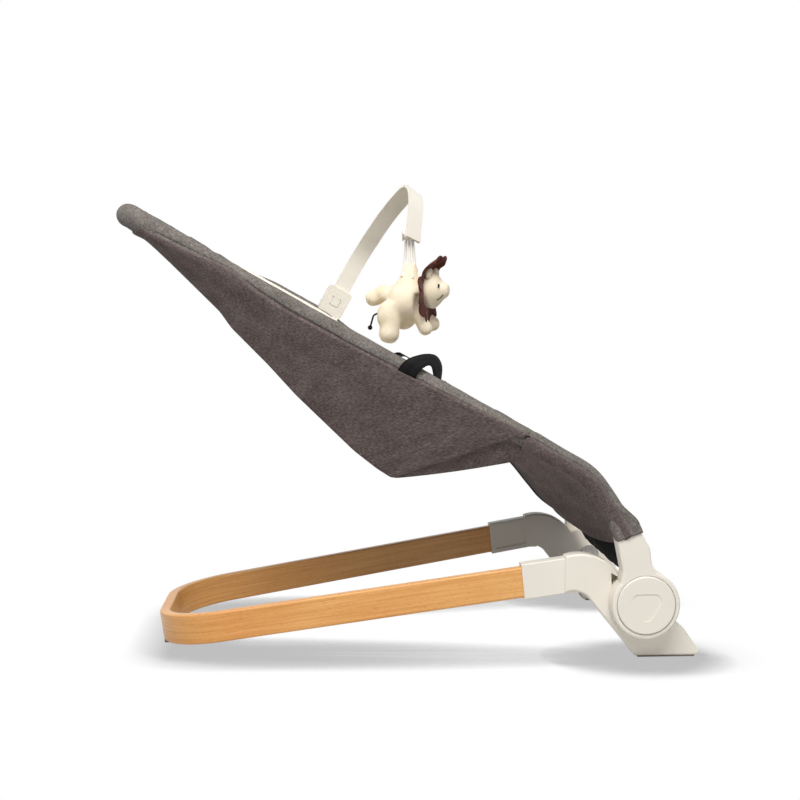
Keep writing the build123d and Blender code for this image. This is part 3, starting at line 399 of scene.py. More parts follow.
def grid_normals(rows):
    """Normal of a grid of points at each point."""
    count, width = len(rows), len(rows[0])
    normals = []
    for i in range(count):
        line = []
        for j in range(width):
            down = rows[min(i + 1, count - 1)][j] - rows[max(i - 1, 0)][j]
            across = rows[i][min(j + 1, width - 1)] - rows[i][max(j - 1, 0)]
            line.append(across.cross(down).normalized())
        normals.append(line)
    return normals


def cloth(
    name, rows, relief, outer, inner, body, node, thickness=CLOTH_T, closed=False
):
    """Sheet of cloth over a grid of points. relief(u, v) lifts it along its normal, in millimetres, and
    the sheet's thickness lies behind that face."""
    count, width = len(rows), len(rows[0])
    normals = grid_normals(rows)
    lifted = []
    for i in range(count):
        u = i / (count - 1)
        lifted.append([rows[i][j] + normals[i][j] * mm(relief(u, j / (width - 1))) for j in range(width)])
    down, across = lengths([line[width // 2] for line in lifted]), lengths(lifted[count // 2])
    points = [p for line in lifted for p in line]
    faces, uvs = [], []
    for i in range(count - 1):
        for j in range(width - 1):
            a, b = i * width + j, i * width + j + 1
            c, d = b + width, a + width
            faces.append((a, b, c, d))
            uvs += [(across[j], down[i]), (across[j + 1], down[i])]
            uvs += [(across[j + 1], down[i + 1]), (across[j], down[i + 1])]
    piece = finish_mesh(name, points, faces, uvs, outer, inner)
    if closed:
        apply_modifier(piece, "WELD", merge_threshold=mm(0.01))
    dark_edge = int(outer is inlay_cloth)
    apply_modifier(
        piece, "SOLIDIFY", thickness=mm(thickness), offset=-1.0, material_offset=1, material_offset_rim=dark_edge
    )
    apply_modifier(piece, "SUBSURF", levels=1, render_levels=1)
    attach(piece, body)
    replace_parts(piece, node)
    return piece


def ripple(u, v, seed, waves, height):
    """Soft uneven folds, as a height."""
    return height * noise.noise(Vector((u * waves[0], v * waves[1], seed)))


# Rim cover: one fabric tube from hem to hem round the head, with the padded roll over its head end
def rim_point(x, sign):
    """Point of the rim's centre line on its straight run, on one side."""
    y = TUBE_Y - (TUBE_Y - HEAD_HALF) * (KNEE[0] - x) / (KNEE[0] - HEAD_X)
    return at(x, sign * y, KNEE[1] + (KNEE[0] - x) * tan(radians(RIM_ANGLE)))


def leg_corners(sign):
    """Corners of the rim's centre line from its hem to the knee, on one side."""
    hem = Vector(NECK_LOW) + (Vector(NECK_BEND) - Vector(NECK_LOW)).normalized() * HEM_RUN
    return [at(p[0], sign * TUBE_Y, p[1]) for p in (hem, NECK_BEND, KNEE)]


def seam_height(x):
    """Place on the rim cover of the seam that runs along it, from -1, its underside, to 1, its top."""
    STOPS = (
        (-676, -0.3), (-584, 0.05), (-545, 0.35), (-505, -0.2), (-465, -0.45), (-377, -0.4), (-265, -0.1),
        (-152, 0.3), (-130, 0.25),
    )
    return between(STOPS, x)


def build_rim():
    HEM_STITCH, SEAM_DEPTH, SEAM_HALF = 8.0, 1.7, 1.6
    corners = leg_corners(-1) + [rim_point(HEAD_X, -1), rim_point(HEAD_X, 1)] + leg_corners(1)[::-1]
    radii = [mm(r) for r in (NECK_BEND_R, KNEE_R, HEAD_CORNER_R, HEAD_CORNER_R, KNEE_R, NECK_BEND_R)]
    route = rounded_route(corners, radii, mm(4))
    total = lengths(route)[-1]

    def cover_radius(place, distance, angle):
        """Round over the tube, flared to fit the neck at each hem, with a cuff edge at the knee and a fold near the head."""
        x = (place.x - HUB_X) * 1000
        near = min(distance, total - distance) * 1000
        cuff = between(((-154, 0.0), (-150, 1.2), (-110, 0.2), (-60, 0.0)), x)
        fold = between(((-640, -1.0), (-627, 3.6), (-606, 2.4), (-592, 0.3), (-582, 2.2), (-566, 0.0)), x)
        crease = 0.5 * noise.noise(Vector((distance * 45, cos(angle) * 1.4, sin(angle) * 1.4)))
        plain = COVER_R + cuff + fold + crease
        if place.y > 0:
            # On the far side the cloth stands up in a fold along the rim's top
            plain += max(0.0, -sin(angle)) * between(((-545, 0.0), (-500, 6.5), (-420, 6.5), (-385, 0.0)), x)
        flare = ease((44 - near) / 34)
        wide, tall = plain + 1.6 * flare, plain + 5.8 * flare
        stitch = 0.6 if abs(near - HEM_STITCH) < 1.6 else 0.0
        from_seam = (angle - pi - asin(seam_height(x))) * COVER_R
        groove = SEAM_DEPTH * exp(-(from_seam / SEAM_HALF) ** 2) * ease((near - 12) / 10)
        power = 2 + 6 * flare
        radius = (abs(cos(angle) / wide) ** power + abs(sin(angle) / tall) ** power) ** (-1 / power)
        return mm(radius - stitch - groove)

    cover = tube("rim_cover", route, cover_radius, 96, rim_cloth_painted_light)
    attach(cover, "seat")
    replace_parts(cover, "rim_sleeve_right", "rim_sleeve_left", "rim_sleeve_head")

    ends = [rim_point(ROLL_FROM_X, sign) for _, sign in SIDES]
    roll_route = rounded_route([ends[0], rim_point(HEAD_X, -1), rim_point(HEAD_X, 1), ends[1]], radii[2:4], mm(4))
    roll_total = lengths(roll_route)[-1]

    def roll_radius(place, distance, angle):
        swell = ease(min(distance, roll_total - distance) / mm(18))
        crease = 0.8 * noise.noise(Vector((distance * 30, cos(angle), sin(angle) + 5)))
        return mm(12.6 + (ROLL_R - 12.6 + crease) * swell)

    roll = tube("head_roll_cover", roll_route, roll_radius, 32, rim_cloth_painted_light)
    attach(roll, "seat")
    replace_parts(roll, "head_roll")


def build_inlay_edges():
    """Cream roll along the inner side of each rim, where the inlay's edge is bound."""
    FROM_X, TO_X, INWARD, RISE, ROLL = -560.0, -375.0, 6.0, 9.5, 7.0
    for hand, sign in SIDES:
        lift = at(0, -sign * INWARD, RISE) - at(0, 0, 0)
        route = spread_points(rim_point(FROM_X, sign) + lift, rim_point(TO_X, sign) + lift, 40)
        total = lengths(route)[-1]
        edge = tube(
            "inlay_edge_" + hand, route,
            lambda p, d, a: mm(1.5 + (ROLL - 1.5) * ease(min(d, total - d) / mm(60))), 20, inlay_cloth,
        )
        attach(edge, "seat")


build_rim()


# Sling: wings, under-seat sides, back, seat and calf panels, gussets and lining
def spread_points(a, b, count):
    """Evenly spaced points from a to b."""
    return [a.lerp(b, i / (count - 1)) for i in range(count)]


def outward(rows, sign):
    """Grid turned, if need be, so that its normals face out of the bucket on one side."""
    normal = grid_normals(rows)[len(rows) // 2][len(rows[0]) // 2]
    return rows if normal.y * sign > 0 else rows[::-1]


def wrapped(centre, heading, sign, height, goal, cling=0.0):
    """Line of cloth that leaves a seam on the rim cover's outer side, runs down round the cover and then
    straight to a goal. height is the seam's place, from -1, the cover's underside, to 1, its top. cling is how
    far the cloth follows the cover in below it: 0 leaves it as a tight line would."""
    TURNS, COLUMNS = 24, 32
    radius = mm(COVER_R + 1.4)
    out = Vector((0, sign, 0))
    out = (out - heading * out.dot(heading)).normalized()
    up = heading.cross(out)
    up = up if up.z > 0 else -up
    reach = goal - centre
    over, rise, ahead = reach.dot(out), reach.dot(up), reach.dot(heading)
    start = asin(height)
    toward = atan2(rise, over)
    toward -= 2 * pi if toward > start else 0.0
    leave = min(start - 0.05, toward + acos(radius / hypot(over, rise)) * (1 - cling))
    line = []
    for i in range(TURNS):
        angle = start + (leave - start) * i / (TURNS - 1)
        line.append(centre + (out * cos(angle) + up * sin(angle)) * radius)
    line = resample(line + [goal - heading * ahead], COLUMNS, 1.8)
    along = lengths(line)
    return [p + heading * ahead * d / along[-1] for p, d in zip(line, along)]


def shoulder(distance):
    """Height of cloth that comes out of a seam and swells within a few millimetres."""
    return -3.0 + 4.8 * ease(distance / 3.5)


def back_sag(u):
    """How far the lower edge hangs below a straight back, in millimetres. It sags and folds."""
    STOPS = (
        (0.0, 1.0), (0.05, 6.0), (0.13, 10.0), (0.35, 10.0), (0.46, 6.5), (0.6, 5.0), (0.65, 0.0), (0.88, -2.0),
    )
    return between(STOPS, u)


def low_edge(u, sign, drop=0.0):
    """Lower edge of a wing and side edge of the back, from the seat's low corner to the head. drop moves it out
    under the back."""
    corner = at(BUCKET_LOW[0], sign * BUCKET_HALF, BUCKET_LOW[1])
    top = at(BACK_TOP[0], sign * BACK_TOP_HALF, BACK_TOP[1])
    run = (top - corner).normalized()
    below = Vector((-run.z, 0, run.x)).normalized()
    if u > BACK_SHARE:
        end = at(BACK_END[0], sign * BACK_END_HALF, BACK_END[1]) + below * mm(drop)
        return low_edge(BACK_SHARE, sign, drop).lerp(end, (u - BACK_SHARE) / (1 - BACK_SHARE))
    return corner.lerp(top, u / BACK_SHARE) + below * mm(back_sag(u) + drop)


def seam_rise(t):
    """Rise of the seam between a wing and the strip under the seat above a straight line from corner to rim."""
    return between(((0.0, 0.0), (0.25, 3.0), (0.6, 6.0), (0.75, 8.0), (0.9, 6.0), (1.0, 4.0)), t)


def build_wings():
    ROWS, HEAD_END_X = 72, -652.0
    for hand, sign in SIDES:
        rows, drops = [], []
        for i in range(ROWS + 1):
            u = i / ROWS
            x = between(((0.0, WING_FRONT_X), (BACK_SHARE, WING_BACK_X), (1.0, HEAD_END_X)), u)
            rim = rim_point(x, sign)
            heading = (rim_point(x + 1, sign) - rim).normalized()
            line = wrapped(rim, heading, sign, seam_height(x), low_edge(u, sign, EDGE_DROP))
            along = lengths(line)
            lift = [seam_rise(1 - d / along[-1]) * (1 - u) ** 3 for d in along]
            rows.append([p + Vector((0, 0, mm(r))) for p, r in zip(line, lift)])
            drops.append([d * 1000 for d in along])
        front_edge = resample(rows[0][::-1], 25)
        if outward(rows, sign) is not rows:
            rows, drops = rows[::-1], drops[::-1]

        def relief(u, v, drops=drops, seed=3.0 + sign):
            line = drops[round(u * ROWS)]
            drop = line[round(v * (len(line) - 1))]
            share = drop / line[-1]
            return shoulder(drop) + (2.0 + ripple(u, share, seed, (9, 3), 2.0)) * sin(pi * share)

        wing = cloth("wing_cover_" + hand, rows, relief, seat_cloth, inlay_cloth, "seat", "wing_" + hand)

        corner = at(BUCKET_LOW[0], sign * BUCKET_HALF, BUCKET_LOW[1])
        front = at(SEAT_FRONT[0], sign * SEAT_FRONT_HALF, SEAT_FRONT[1] + 2)
        strip = []
        for i, seam in enumerate(front_edge):
            t = i / 24
            tucked = seam + at(0, -2.0 * sign, 4) - at(0, 0, 0)
            low = corner.lerp(front, t) - Vector((0, 0, mm(EDGE_DROP + 2 * sin(pi * t))))
            strip.append(spread_points(tucked, low, 9))
        under = cloth(
            "seat_side_cover_" + hand, outward(strip, sign),
            lambda u, v: 1.2 * v + (1.5 + ripple(u, v, 2.0, (8, 2), 2.0)) * sin(pi * v), seat_cloth, seat_cloth, "seat",
            "seat_side_" + hand,
        )


def straight_across(edge, sign):
    """Points across the sling between an edge point and its mirror, from one side."""
    return spread_points(Vector((edge.x, sign * edge.y, edge.z)), Vector((edge.x, -sign * edge.y, edge.z)), 25)


def build_panels():
    INTO_SEAM = Vector((0, mm(2), 0))
    back = [straight_across(low_edge(i / 40, 1) + INTO_SEAM, -1) for i in range(41)]

    def back_relief(u, v):
        """The back is stretched straight between its edges, which hang lower."""
        inside = ease(min(v, 1 - v) / 0.08)
        return (back_sag(u) + 3.5 + ripple(u, v, 1.0, (7, 4), 1.5)) * inside - 1.0

    panel = cloth("back_cover", back, back_relief, inlay_cloth, seat_cloth, "seat", "back_panel")
    corner = at(BUCKET_LOW[0], BUCKET_HALF, BUCKET_LOW[1])
    front = at(SEAT_FRONT[0], SEAT_FRONT_HALF, SEAT_FRONT[1])
    seat = [straight_across(point, 1) for point in spread_points(corner, front, 17)]
    panel = cloth(
        "seat_cover", seat, lambda u, v: 2.5 - 3.0 * sin(pi * v) * sin(pi * u), inlay_cloth, seat_cloth, "seat",
        "seat_panel",
    )


def calf_edge(sign, count):
    """Edge that the calf panel and a gusset share, from the knee down to the lining."""
    EDGE = ((-168.5, 189, 263.5), (-133.6, 140, 231), (-108.6, 105, 198.7), (-88.9, 88, 176), (-48.5, 80, 148.5))
    return smooth_line([at(x, sign * y, z) for x, y, z in EDGE], count)


def build_calf():
    ROWS = 33
    rows = [straight_across(edge, 1) for edge in calf_edge(1, ROWS)]
    panel = cloth(
        "calf_cover", rows, lambda u, v: 1.0 + ripple(u, v, 4.0, (3, 6), 1.2) * sin(pi * v), inlay_cloth, seat_cloth,
        "seat", "calf_panel",
    )
    # The gusset leaves the tube's outer side and slopes in to the calf panel, from the knee to the hem
    TUBE_FROM_X, TUBE_TO_X, LOW_SAG, CUFF_LIFT, CLING, TUCK = -160.0, -22.0, 7.0, 1.6, 0.5, 8.0
    for hand, sign in SIDES:
        route = rounded_route(leg_corners(sign) + [rim_point(-300, sign)], [mm(NECK_BEND_R), mm(KNEE_R)], mm(3))
        route = [p for p in reversed(route) if at(TUBE_FROM_X, 0, 0).x <= p.x <= at(TUBE_TO_X, 0, 0).x]
        route = resample(route, ROWS)
        headings = [heading for heading, side, up in frames(route, Vector((0, 1, 0)))]
        rows, drops, lifts = [], [], []
        for i, (place, heading, inner) in enumerate(zip(route, headings, calf_edge(sign, ROWS))):
            tuck = TUCK * ease((i + 1) / 3)
            low = inner + at(-EDGE_DROP * 0.7, -sign * tuck, -EDGE_DROP * 0.7) - at(0, 0, 0)
            line = wrapped(place, heading, sign, seam_height((place.x - HUB_X) * 1000), low, CLING)
            along = lengths(line)
            sag = LOW_SAG * max(0.0, i / (ROWS - 1) - 0.75) ** 2 * 16
            rows.append([p - Vector((0, 0, mm(sag * sin(pi * d / along[-1])))) for p, d in zip(line, along)])
            drops.append([d * 1000 for d in along])
            lifts.append(CUFF_LIFT * ease(1 - i / 6))
        if outward(rows, sign) is not rows:
            rows, drops, lifts = rows[::-1], drops[::-1], lifts[::-1]

        def relief(u, v, drops=drops, lifts=lifts):
            line = drops[round(u * (ROWS - 1))]
            drop = line[round(v * (len(line) - 1))]
            share = drop / line[-1]
            fold = 1.6 * max(0.0, 1 - abs(share - 0.92) / 0.05) + lifts[round(u * (ROWS - 1))]
            return shoulder(drop) * (1 - share) + 1.4 * share + 2.0 * sin(pi * share) * sin(pi * u) + fold

        gusset = cloth(
            "gusset_cover_" + hand, rows, relief, seat_cloth, seat_cloth, "seat", "front_gusset_" + hand
        )
    # The lining hangs from the calf panel's end and from the lower edges of the gussets
    CORNER = (-34.6, LINING_HALF, 163.2)
    top = [at(CORNER[0], CORNER[1], CORNER[2]), at(CALF_END[0], 79, CALF_END[1])]
    top += [Vector((p.x, -p.y, p.z)) for p in reversed(top)]
    upper = resample(top, 49)
    rows = []
    for i in range(15):
        u = i / 14
        rows.append([p.lerp(Vector((at(LINING_END[0], 0, 0).x, p.y, mm(LINING_END[1]))), u) for p in upper])
    lining = cloth(
        "lining_cover", rows, lambda u, v: 0.5 + ripple(u, v, 6.0, (2, 9), 2.5) * u, lining_cloth, lining_cloth, "seat",
        "front_lining",
    )


build_inlay_edges()
build_wings()
build_panels()
build_calf()


# Padded pieces: copies of CAD solids under one rounded skin
def skin_over(name, sources, voxel, extra=()):
    """One closed skin over copies of CAD solids and extra shapes."""
    shapes = list(extra)
    for source in sources:
        shape = bpy.data.objects.new(name, nodes[source].data.copy())
        bpy.context.collection.objects.link(shape)
        shapes.append(shape)
    pick(*shapes)
    if len(shapes) > 1:
        bpy.ops.object.join()
    skin = shapes[-1]
    skin.name = name
    skin.data.materials.clear()
    apply_modifier(skin, "WELD", merge_threshold=mm(0.05))
    apply_modifier(skin, "REMESH", mode="VOXEL", voxel_size=mm(voxel))
    return skin


def finish_padded(skin, material, body, rounds, sources):
    apply_modifier(skin, "SMOOTH", factor=0.5, iterations=rounds)
    apply_modifier(skin, "SUBSURF", levels=1, render_levels=1)
    skin.data.polygons.foreach_set("use_smooth", [True] * len(skin.data.polygons))
    skin.data.materials.append(material)
    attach(skin, body)
    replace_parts(skin, *sources)


def puff(node, name, cap_mm, rear, front):
    """Pad swollen by pressure as a stuffed cover, capped in how far a point may move. It lies on the panel that
    runs from rear to front, so it swells only away from it."""
    along = (at(front[0], 0, front[1]) - at(rear[0], 0, rear[1])).normalized()
    away = Vector((-along.z, 0, along.x))
    pad = skin_over(name, [node], 4)
    start = [v.co.copy() for v in pad.data.vertices]
    press = pad.modifiers.new("press", "CLOTH")
    press.settings.use_pressure = True
    press.settings.uniform_pressure_force = 4.0
    press.settings.effector_weights.gravity = 0.0
    press.settings.quality = 4
    scene = bpy.context.scene
    for step in range(1, 21):
        scene.frame_set(step)
    pick(pad)
    bpy.ops.object.modifier_apply(modifier="press")
    scene.frame_set(1)
    for vertex, before in zip(pad.data.vertices, start):
        move = vertex.co - before
        move -= away * min(0.0, move.dot(away))
        vertex.co = before + move
        if move.length > mm(cap_mm):
            vertex.co = before + move * (mm(cap_mm) / move.length)
    finish_padded(pad, inlay_cloth, "seat", 14, [node])


puff("back_pad", "back_cushion", 6, BACK_TOP, BUCKET_LOW)
puff("seat_pad", "seat_cushion", 5, BUCKET_LOW, SEAT_FRONT)


# Harness webbing: flat belts that follow the rim and run to the buckle
def strap_edges(route, width, first_side):
    """Edge lines of a strap of one width along a route. first_side is the direction of its width at the start."""
    half = mm(width / 2)
    turned = frames(route, first_side)
    left = [place - side * half for place, (heading, side, up) in zip(route, turned)]
    right = [place + side * half for place, (heading, side, up) in zip(route, turned)]
    return left, right


def belt(name, edges, body):
    """Flat strap between two edge lines."""
    BELT_T = 1.8
    left, right = edges
    route = [a.lerp(b, 0.5) for a, b in zip(left, right)]
    along = lengths(route)
    width = (right[0] - left[0]).length
    points, faces, uvs = [], [], []
    for a, b, (heading, side, up) in zip(left, right, frames(route, right[0] - left[0])):
        rise = heading.cross(b - a).normalized() * mm(BELT_T / 2)
        points += [a - rise, b - rise, b + rise, a + rise]
    across = (0, width, width + mm(BELT_T), 2 * width + mm(BELT_T), 2 * width + mm(2 * BELT_T))
    for i in range(len(route) - 1):
        for k in range(4):
            j = (k + 1) % 4
            faces.append((i * 4 + k, i * 4 + j, i * 4 + 4 + j, i * 4 + 4 + k))
            uvs += [(along[i], across[k]), (along[i], across[k + 1])]
            uvs += [(along[i + 1], across[k + 1]), (along[i + 1], across[k])]
    end = len(points) - 4
    faces += [(3, 2, 1, 0), (end, end + 1, end + 2, end + 3)]
    uvs += [(0.0, 0.0)] * 4 + [(along[-1], 0.0)] * 4
    piece = finish_mesh(name, points, faces, uvs, webbing)
    apply_modifier(piece, "BEVEL", width=mm(BELT_T * 0.3), segments=2, limit_method="ANGLE")
    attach(piece, body)
    return piece


def build_harness():
    STRAP_X, STRAP_W = -296.0, 22.0
    # The near strap stands up in a loose twisted arch, given by its rear and front edges
    REAR = (
        (-325, -195, 381), (-323, -200, 385), (-317, -202, 393), (-307, -200, 399), (-288, -187, 403),
        (-272, -174, 400), (-264, -166, 386), (-265, -163, 366),
    )
    FRONT = (
        (-303, -195, 368), (-301, -201, 372), (-298, -203, 379), (-294, -203, 383), (-286, -199, 388),
        (-280, -192, 387), (-277, -184, 379), (-275, -181, 366),
    )
    # The far strap lies flat over the rim
    FLAT = ((-12, -17), (-34, -13), (-31, 2), (-11, 17), (11, 17), (31, 4), (35, -26))
    FLAT_RADII = (7, 10, 10, 10, 10)
    up = Vector((sin(radians(RIM_ANGLE)), 0, cos(radians(RIM_ANGLE))))
    for hand, sign in SIDES:
        if hand == "right":
            edges = [smooth_line([at(*p) for p in line], 57) for line in (REAR, FRONT)]
        else:
            heading = (rim_point(WING_FRONT_X, sign) - rim_point(WING_BACK_X, sign)).normalized()
            along = (heading * 0.8 + Vector((0, -sign, 0)) * 0.6).normalized()
            corners = [rim_point(STRAP_X, sign) + along * mm(a) + up * mm(b) for a, b in FLAT]
            route = rounded_route(corners, [mm(r) for r in FLAT_RADII], mm(2.5))
            edges = strap_edges(route, STRAP_W, along.cross(up))
        arch = belt("harness_arch_" + hand, edges, "seat")
        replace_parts(arch, "harness_strap_" + hand)
        foot, buckle_end = edges[0][-1].lerp(edges[1][-1], 0.5), at(-262, sign * 20, 318)
        sag = foot.lerp(buckle_end, 0.5) + Vector((0, 0, -mm(4)))
        route = rounded_route([foot, sag, buckle_end], [mm(400)], mm(8))
        belt("harness_belt_" + hand, strap_edges(route, STRAP_W, (buckle_end - foot).cross(Vector((0, 0, 1)))), "seat")
    # Free end of the near strap, which lies over the rim behind the arch
    tail = [at(x, -181, z) for x, z in ((-329, 380), (-321, 394), (-304, 389), (-290, 370))]
    tail = rounded_route(tail, [mm(5), mm(12)], mm(2.5))
    belt("harness_tail", strap_edges(tail, 12.0, Vector((0, -0.82, -0.57))), "seat")
    crotch = spread_points(at(-226, 0, 266), at(-255, 0, 314), 12)
    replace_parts(belt("crotch_belt", strap_edges(crotch, 25.0, Vector((0, 1, 0))), "seat"), "crotch_strap")


build_harness()


# Toy: plush body and legs under one skin that is drawn up to the strands, head with stitched face, felt mane
def look(x, y, z):
    """Point of the toy's head, turned with it, from its place when it looks straight ahead."""
    pivot = at(MANE_X, TOY_Y, 0)
    return Matrix.Rotation(radians(HEAD_TURN), 4, "Z") @ (at(x, y, z) - pivot) + pivot


def cone(low, high, low_r, high_r):
    """Blunt cone between two points, as a shape to skin over."""
    bpy.ops.object.select_all(action="DESELECT")
    bpy.ops.mesh.primitive_cone_add(
        vertices=32, radius1=mm(low_r), radius2=mm(high_r), depth=(high - low).length, location=low.lerp(high, 0.5),
        rotation=(high - low).to_track_quat("Z", "Y").to_euler(),
    )
    bpy.ops.object.transform_apply(location=True, rotation=True, scale=True)
    return bpy.context.object


def ball(centre, *radii):
    """Ball with three radii, as a shape to skin over."""
    bpy.ops.object.select_all(action="DESELECT")
    bpy.ops.mesh.primitive_uv_sphere_add(segments=32, ring_count=16, radius=1.0, location=centre)
    bpy.ops.transform.resize(value=[mm(r) for r in radii])
    bpy.ops.object.transform_apply(location=True, rotation=True, scale=True)
    return bpy.context.object


def build_toy_body():
    legs = ["toy_leg_" + place for place in ("rear_right", "rear_left", "front_right", "front_left")]
    stuffing = [
        cone(at(-297, TOY_Y, 484), at(-295.5, TOY_Y, 508), 27, 14),
        cone(at(-295.5, TOY_Y, 504), at(-295, TOY_Y, 528), 16, 8),
        ball(at(-328, TOY_Y - 13, 452), 16, 13, 22),
        ball(at(-331, TOY_Y + 9, 484), 16, 13, 13),
        ball(at(-304, TOY_Y + 7, 453), 20, 15, 22),
        cone(at(-290, TOY_Y + 12, 464), at(-263, TOY_Y + 12, 442), 11, 10),
        ball(at(-261, TOY_Y + 12, 440), 10.5, 10.5, 11),
        ball(at(-284, TOY_Y, 482), 17, 19, 21),
    ]
    body = skin_over("toy_skin", ["toy_body"] + legs, 2.0, stuffing)
    finish_padded(body, plush, "toy", 22, ["toy_body"] + legs)
    snout = [cone(look(-263, TOY_Y, 487), look(-237, TOY_Y, 489), 27, 5.5)]
    face = skin_over("toy_face", ["toy_head", "toy_muzzle"], 1.6, snout)
    finish_padded(face, plush, "toy", 22, ["toy_head", "toy_muzzle"])
    ears = skin_over("toy_ear_pads", ["toy_ears"], 1.0)
    apply_modifier(ears, "DISPLACE", strength=mm(1.8), mid_level=0.0)
    finish_padded(ears, plush, "toy", 4, ["toy_ears"])
    return face


def build_face(face):
    """Stitched eyes and mouth corners on the face's own surface."""
    EYES = (((-249, -13, 496), (-250, -14, 491)),)
    MOUTH = (((-246, -6, 484), (-249, -9, 478), (-252, -13, 474)),)
    for marks, kind, radius in ((EYES, "eye", 1.3), (MOUTH, "mouth", 0.6)):
        for mark in marks:
            for hand, sign in SIDES:
                line = smooth_line([look(x, TOY_Y - sign * y, z) for x, y, z in mark], 9)
                route = []
                for point in line:
                    found, place, normal, index = face.closest_point_on_mesh(point)
                    route.append(place + normal * mm(radius * 0.3))
                stitch = tube("toy_%s_%s" % (kind, hand), route, lambda p, d, a: mm(radius), 10, thread_black)
                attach(stitch, "toy")


def build_mane():
    """Felt ring with rounded lobes, cupped round the head, wavy at its edge and folded forward at the top."""
    MANE_Z, INNER_R, NOTCH_R, LOBE, LOBES = 487.0, 12.0, 38.0, 10.0, 12
    SPOKES, RINGS, FELT_T = 144, 12, 2.2
    ahead = (look(0, 0, 0) - look(-1, 0, 0)).normalized()
    aside = (look(0, 1, 0) - look(0, 0, 0)).normalized()
    centre = look(MANE_X + 1, TOY_Y, MANE_Z)
    rows = []
    for i in range(SPOKES + 1):
        angle = 2 * pi * i / SPOKES
        top = max(0.0, sin(angle)) ** 3
        edge = NOTCH_R + LOBE * (1 - 0.5 * top) * sqrt(abs(sin(LOBES / 2 * angle))) + 10 * top
        line = []
        for j in range(RINGS):
            share = j / (RINGS - 1)
            radius = INNER_R + (edge - INNER_R) * share
            cup = 13 * ease((radius - INNER_R) / 15)
            wave = 2.5 * sin(LOBES / 2 * angle + 1.0) * share ** 2
            flop = 24 * top * ease((share - 0.5) / 0.5)
            rise = radius - 2 * top * share ** 3
            place = centre + (aside * cos(angle) + Vector((0, 0, 1)) * sin(angle)) * mm(rise)
            line.append(place + ahead * mm(cup + wave + flop))
        rows.append(line)
    rows[-1] = [p.copy() for p in rows[0]]
    mane = cloth(
        "toy_mane_felt", rows, lambda u, v: 0.0, felt, felt, "toy", "toy_mane",
        thickness=FELT_T, closed=True,
    )


def build_strands():
    """Tail cord with its knot, and the three tape strands from the bar's pin to the body."""
    TAIL_D, TAPE_D, KNOT_R = 2.6, 4.2, 3.4
    tail = [at(x, TOY_Y - 13, z) for x, z in ((-331, 459), (-348, 453), (-353, 435))]
    route = rounded_route(tail, [mm(6)], mm(1.5))
    bpy.ops.object.select_all(action="DESELECT")
    bpy.ops.mesh.primitive_uv_sphere_add(segments=20, ring_count=12, radius=mm(KNOT_R), location=tail[-1])
    bpy.ops.object.transform_apply(location=True, rotation=True, scale=True)
    bpy.ops.object.shade_smooth()
    knot = bpy.context.object
    knot.name = "toy_tail_knot"
    knot.data.materials.append(thread_black)
    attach(knot, "toy")
    cord = tube("toy_tail_cord", route, lambda p, d, a: mm(TAIL_D / 2), 12, thread_black)
    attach(cord, "toy")
    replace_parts(cord, "toy_tail")
    STRANDS = (
        ((-300.6, 0, 561), (-303.5, -2, 522), (-307, -9, 507)),
        ((-296.2, 0, 561), (-296, -7, 524), (-292, -14, 504)),
        ((-291.8, 0, 561), (-288, -2, 522), (-282, -7, 506)),
    )
    for index, stops in enumerate(STRANDS):
        route = smooth_line([at(x, TOY_Y + y, z) for x, y, z in stops], 16)
        strand = tube("toy_strand_%d" % (index + 1), route, lambda p, d, a: mm(TAPE_D / 2), 14, tape_white)
        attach(strand, "toy")
        if not index:
            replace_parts(strand, "toy_strap")


build_face(build_toy_body())
build_mane()
build_strands()

# Rigid pieces keep their solids and get their finish, by how their names begin
finishes = {
    "leg": cream_plastic, "hub_arm": cream_plastic, "hub_button": cream_plastic, "toy_bar": cream_plastic,
    "clip_button": cream_plastic, "buckle_button": cream_plastic, "foot_pads": rubber, "rear_pads": rubber,
    "wood_hoop": beech, "hub_axle": steel, "hub_nut": steel, "leaf_spring": steel, "sleeve_screws": steel,
    "neck_rivets": steel, "seat_tube": steel, "hub_drum": dark_plastic, "lock_gear": dark_plastic,
    "buckle": dark_plastic,
}
for name, solid in nodes.items():
    starts = [start for start in finishes if name.startswith(start)]
    if starts:
        solid.data.materials.clear()
        solid.data.materials.append(finishes[max(starts, key=len)])


# Stage: floor that is white to the eye but for a painted soft shadow close under the object, and light from above
def eye_rays(tree):
    """1 for what the camera sees, straight, in a reflection or through something clear, and 0 for light."""
    rays = add_node(tree, "ShaderNodeLightPath").outputs
    seen = rays["Is Camera Ray"]
    for kind in ("Is Glossy Ray", "Is Transmission Ray"):
        seen = add_node(tree, "ShaderNodeMath", {0: seen, 1: rays[kind]}, operation="MAXIMUM").outputs[0]
    return seen


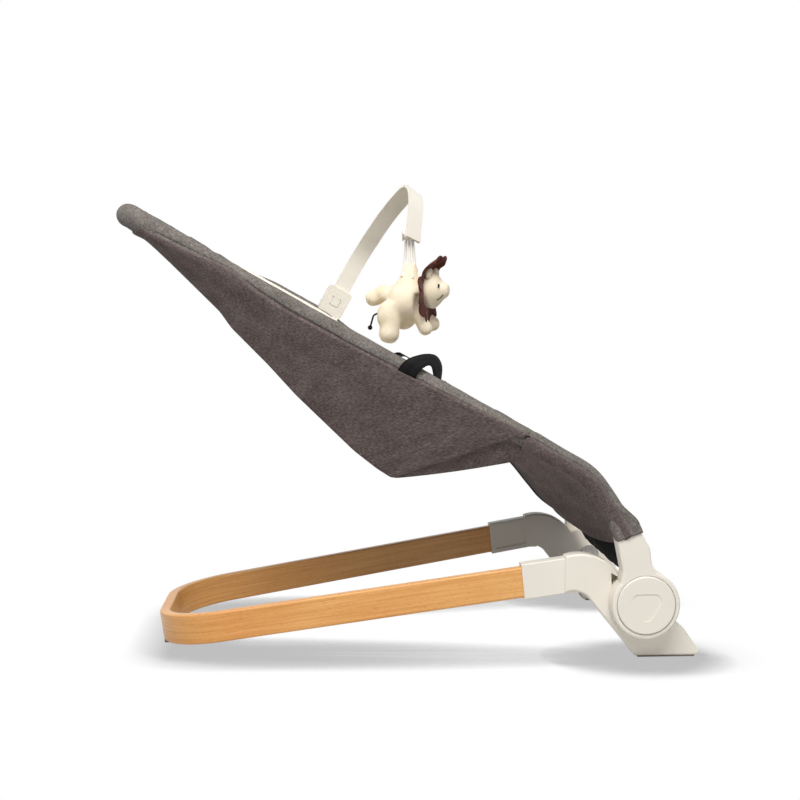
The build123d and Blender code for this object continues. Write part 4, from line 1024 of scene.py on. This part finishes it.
def build_stage():
    SHADE_REACH, DEEPEST, SHADE, REAR = 0.1, 0.87, 0.52, (-0.385, -0.32)
    bpy.ops.object.select_all(action="DESELECT")
    bpy.ops.mesh.primitive_plane_add(size=12, location=(0, 0, -0.0005))
    floor = bpy.context.object
    floor.name = "floor"
    material = bpy.data.materials.new("paper_floor_painted_shadow")
    material.use_nodes = True
    tree = material.node_tree
    tree.nodes.clear()
    paper = add_node(tree, "ShaderNodeBsdfDiffuse", {"Color": (0.7, 0.7, 0.7, 1)})
    # Painted shadow: to the camera the floor glows white, dimmed by ambient occlusion where parts come within reach
    # above it, and the painted shadow fades out behind the hoop's rear end
    near = add_node(tree, "ShaderNodeAmbientOcclusion", {"Distance": SHADE_REACH}, samples=16)
    place = add_node(tree, "ShaderNodeTexCoord").outputs["Object"]
    forward = add_node(tree, "ShaderNodeSeparateXYZ", {"Vector": place}).outputs["X"]
    depth = add_node(
        tree, "ShaderNodeMapRange",
        {"Value": forward, "From Min": REAR[0], "From Max": REAR[1], "To Min": 1.0, "To Max": SHADE},
    )
    shade = add_node(
        tree, "ShaderNodeMapRange",
        {"Value": near.outputs["AO"], "From Min": DEEPEST, "To Min": depth.outputs[0], "To Max": 1.0},
    )
    white = add_node(tree, "ShaderNodeEmission", {"Color": (1, 1, 1, 1), "Strength": shade.outputs[0]})
    mixed = add_node(
        tree, "ShaderNodeMixShader", {0: eye_rays(tree), 1: paper.outputs[0], 2: white.outputs[0]}
    )
    out = add_node(tree, "ShaderNodeOutputMaterial", {"Surface": mixed.outputs[0]})
    out.is_active_output = True
    floor.data.materials.append(material)

    world = bpy.data.worlds.new("studio")
    bpy.context.scene.world = world
    world.use_nodes = True
    tree = world.node_tree
    background = tree.nodes["Background"]
    strength = add_node(tree, "ShaderNodeMapRange", {"Value": eye_rays(tree), "To Min": 0.14, "To Max": 1.0})
    background.inputs["Color"].default_value = (1, 1, 1, 1)
    tree.links.new(strength.outputs[0], background.inputs["Strength"])

    def softbox(name, place, aim, size, watts):
        light = bpy.data.lights.new(name, "AREA")
        light.shape = "RECTANGLE"
        light.size, light.size_y = size
        light.energy = watts
        lamp = bpy.data.objects.new(name, light)
        lamp.location = place
        lamp.rotation_euler = (Vector(aim) - Vector(place)).to_track_quat("-Z", "Y").to_euler()
        bpy.context.collection.objects.link(lamp)

    softbox("top_box", (-0.2, -1.4, 2.5), (0, 0, 0.25), (2.2, 1.2), 84)
    softbox("front_fill", (0.6, -3.2, 1.5), (0, 0, 0.3), (1.6, 1.2), 8)


def build_camera():
    """Camera at the photograph's place: about 2 m off the right side, a little above the seat."""
    YAW, PITCH = 3.28, 3.68
    lens = bpy.data.cameras.new("photo_camera")
    lens.sensor_width = 36.0
    lens.lens = 64.8
    camera = bpy.data.objects.new("photo_camera", lens)
    camera.location = at(-428.0, -2062.1, 463.7)
    camera.rotation_euler = (radians(90 - PITCH), 0, radians(-YAW))
    bpy.context.collection.objects.link(camera)
    bpy.context.scene.camera = camera


build_stage()
build_camera()
bpy.context.scene.view_settings.view_transform = "Standard"
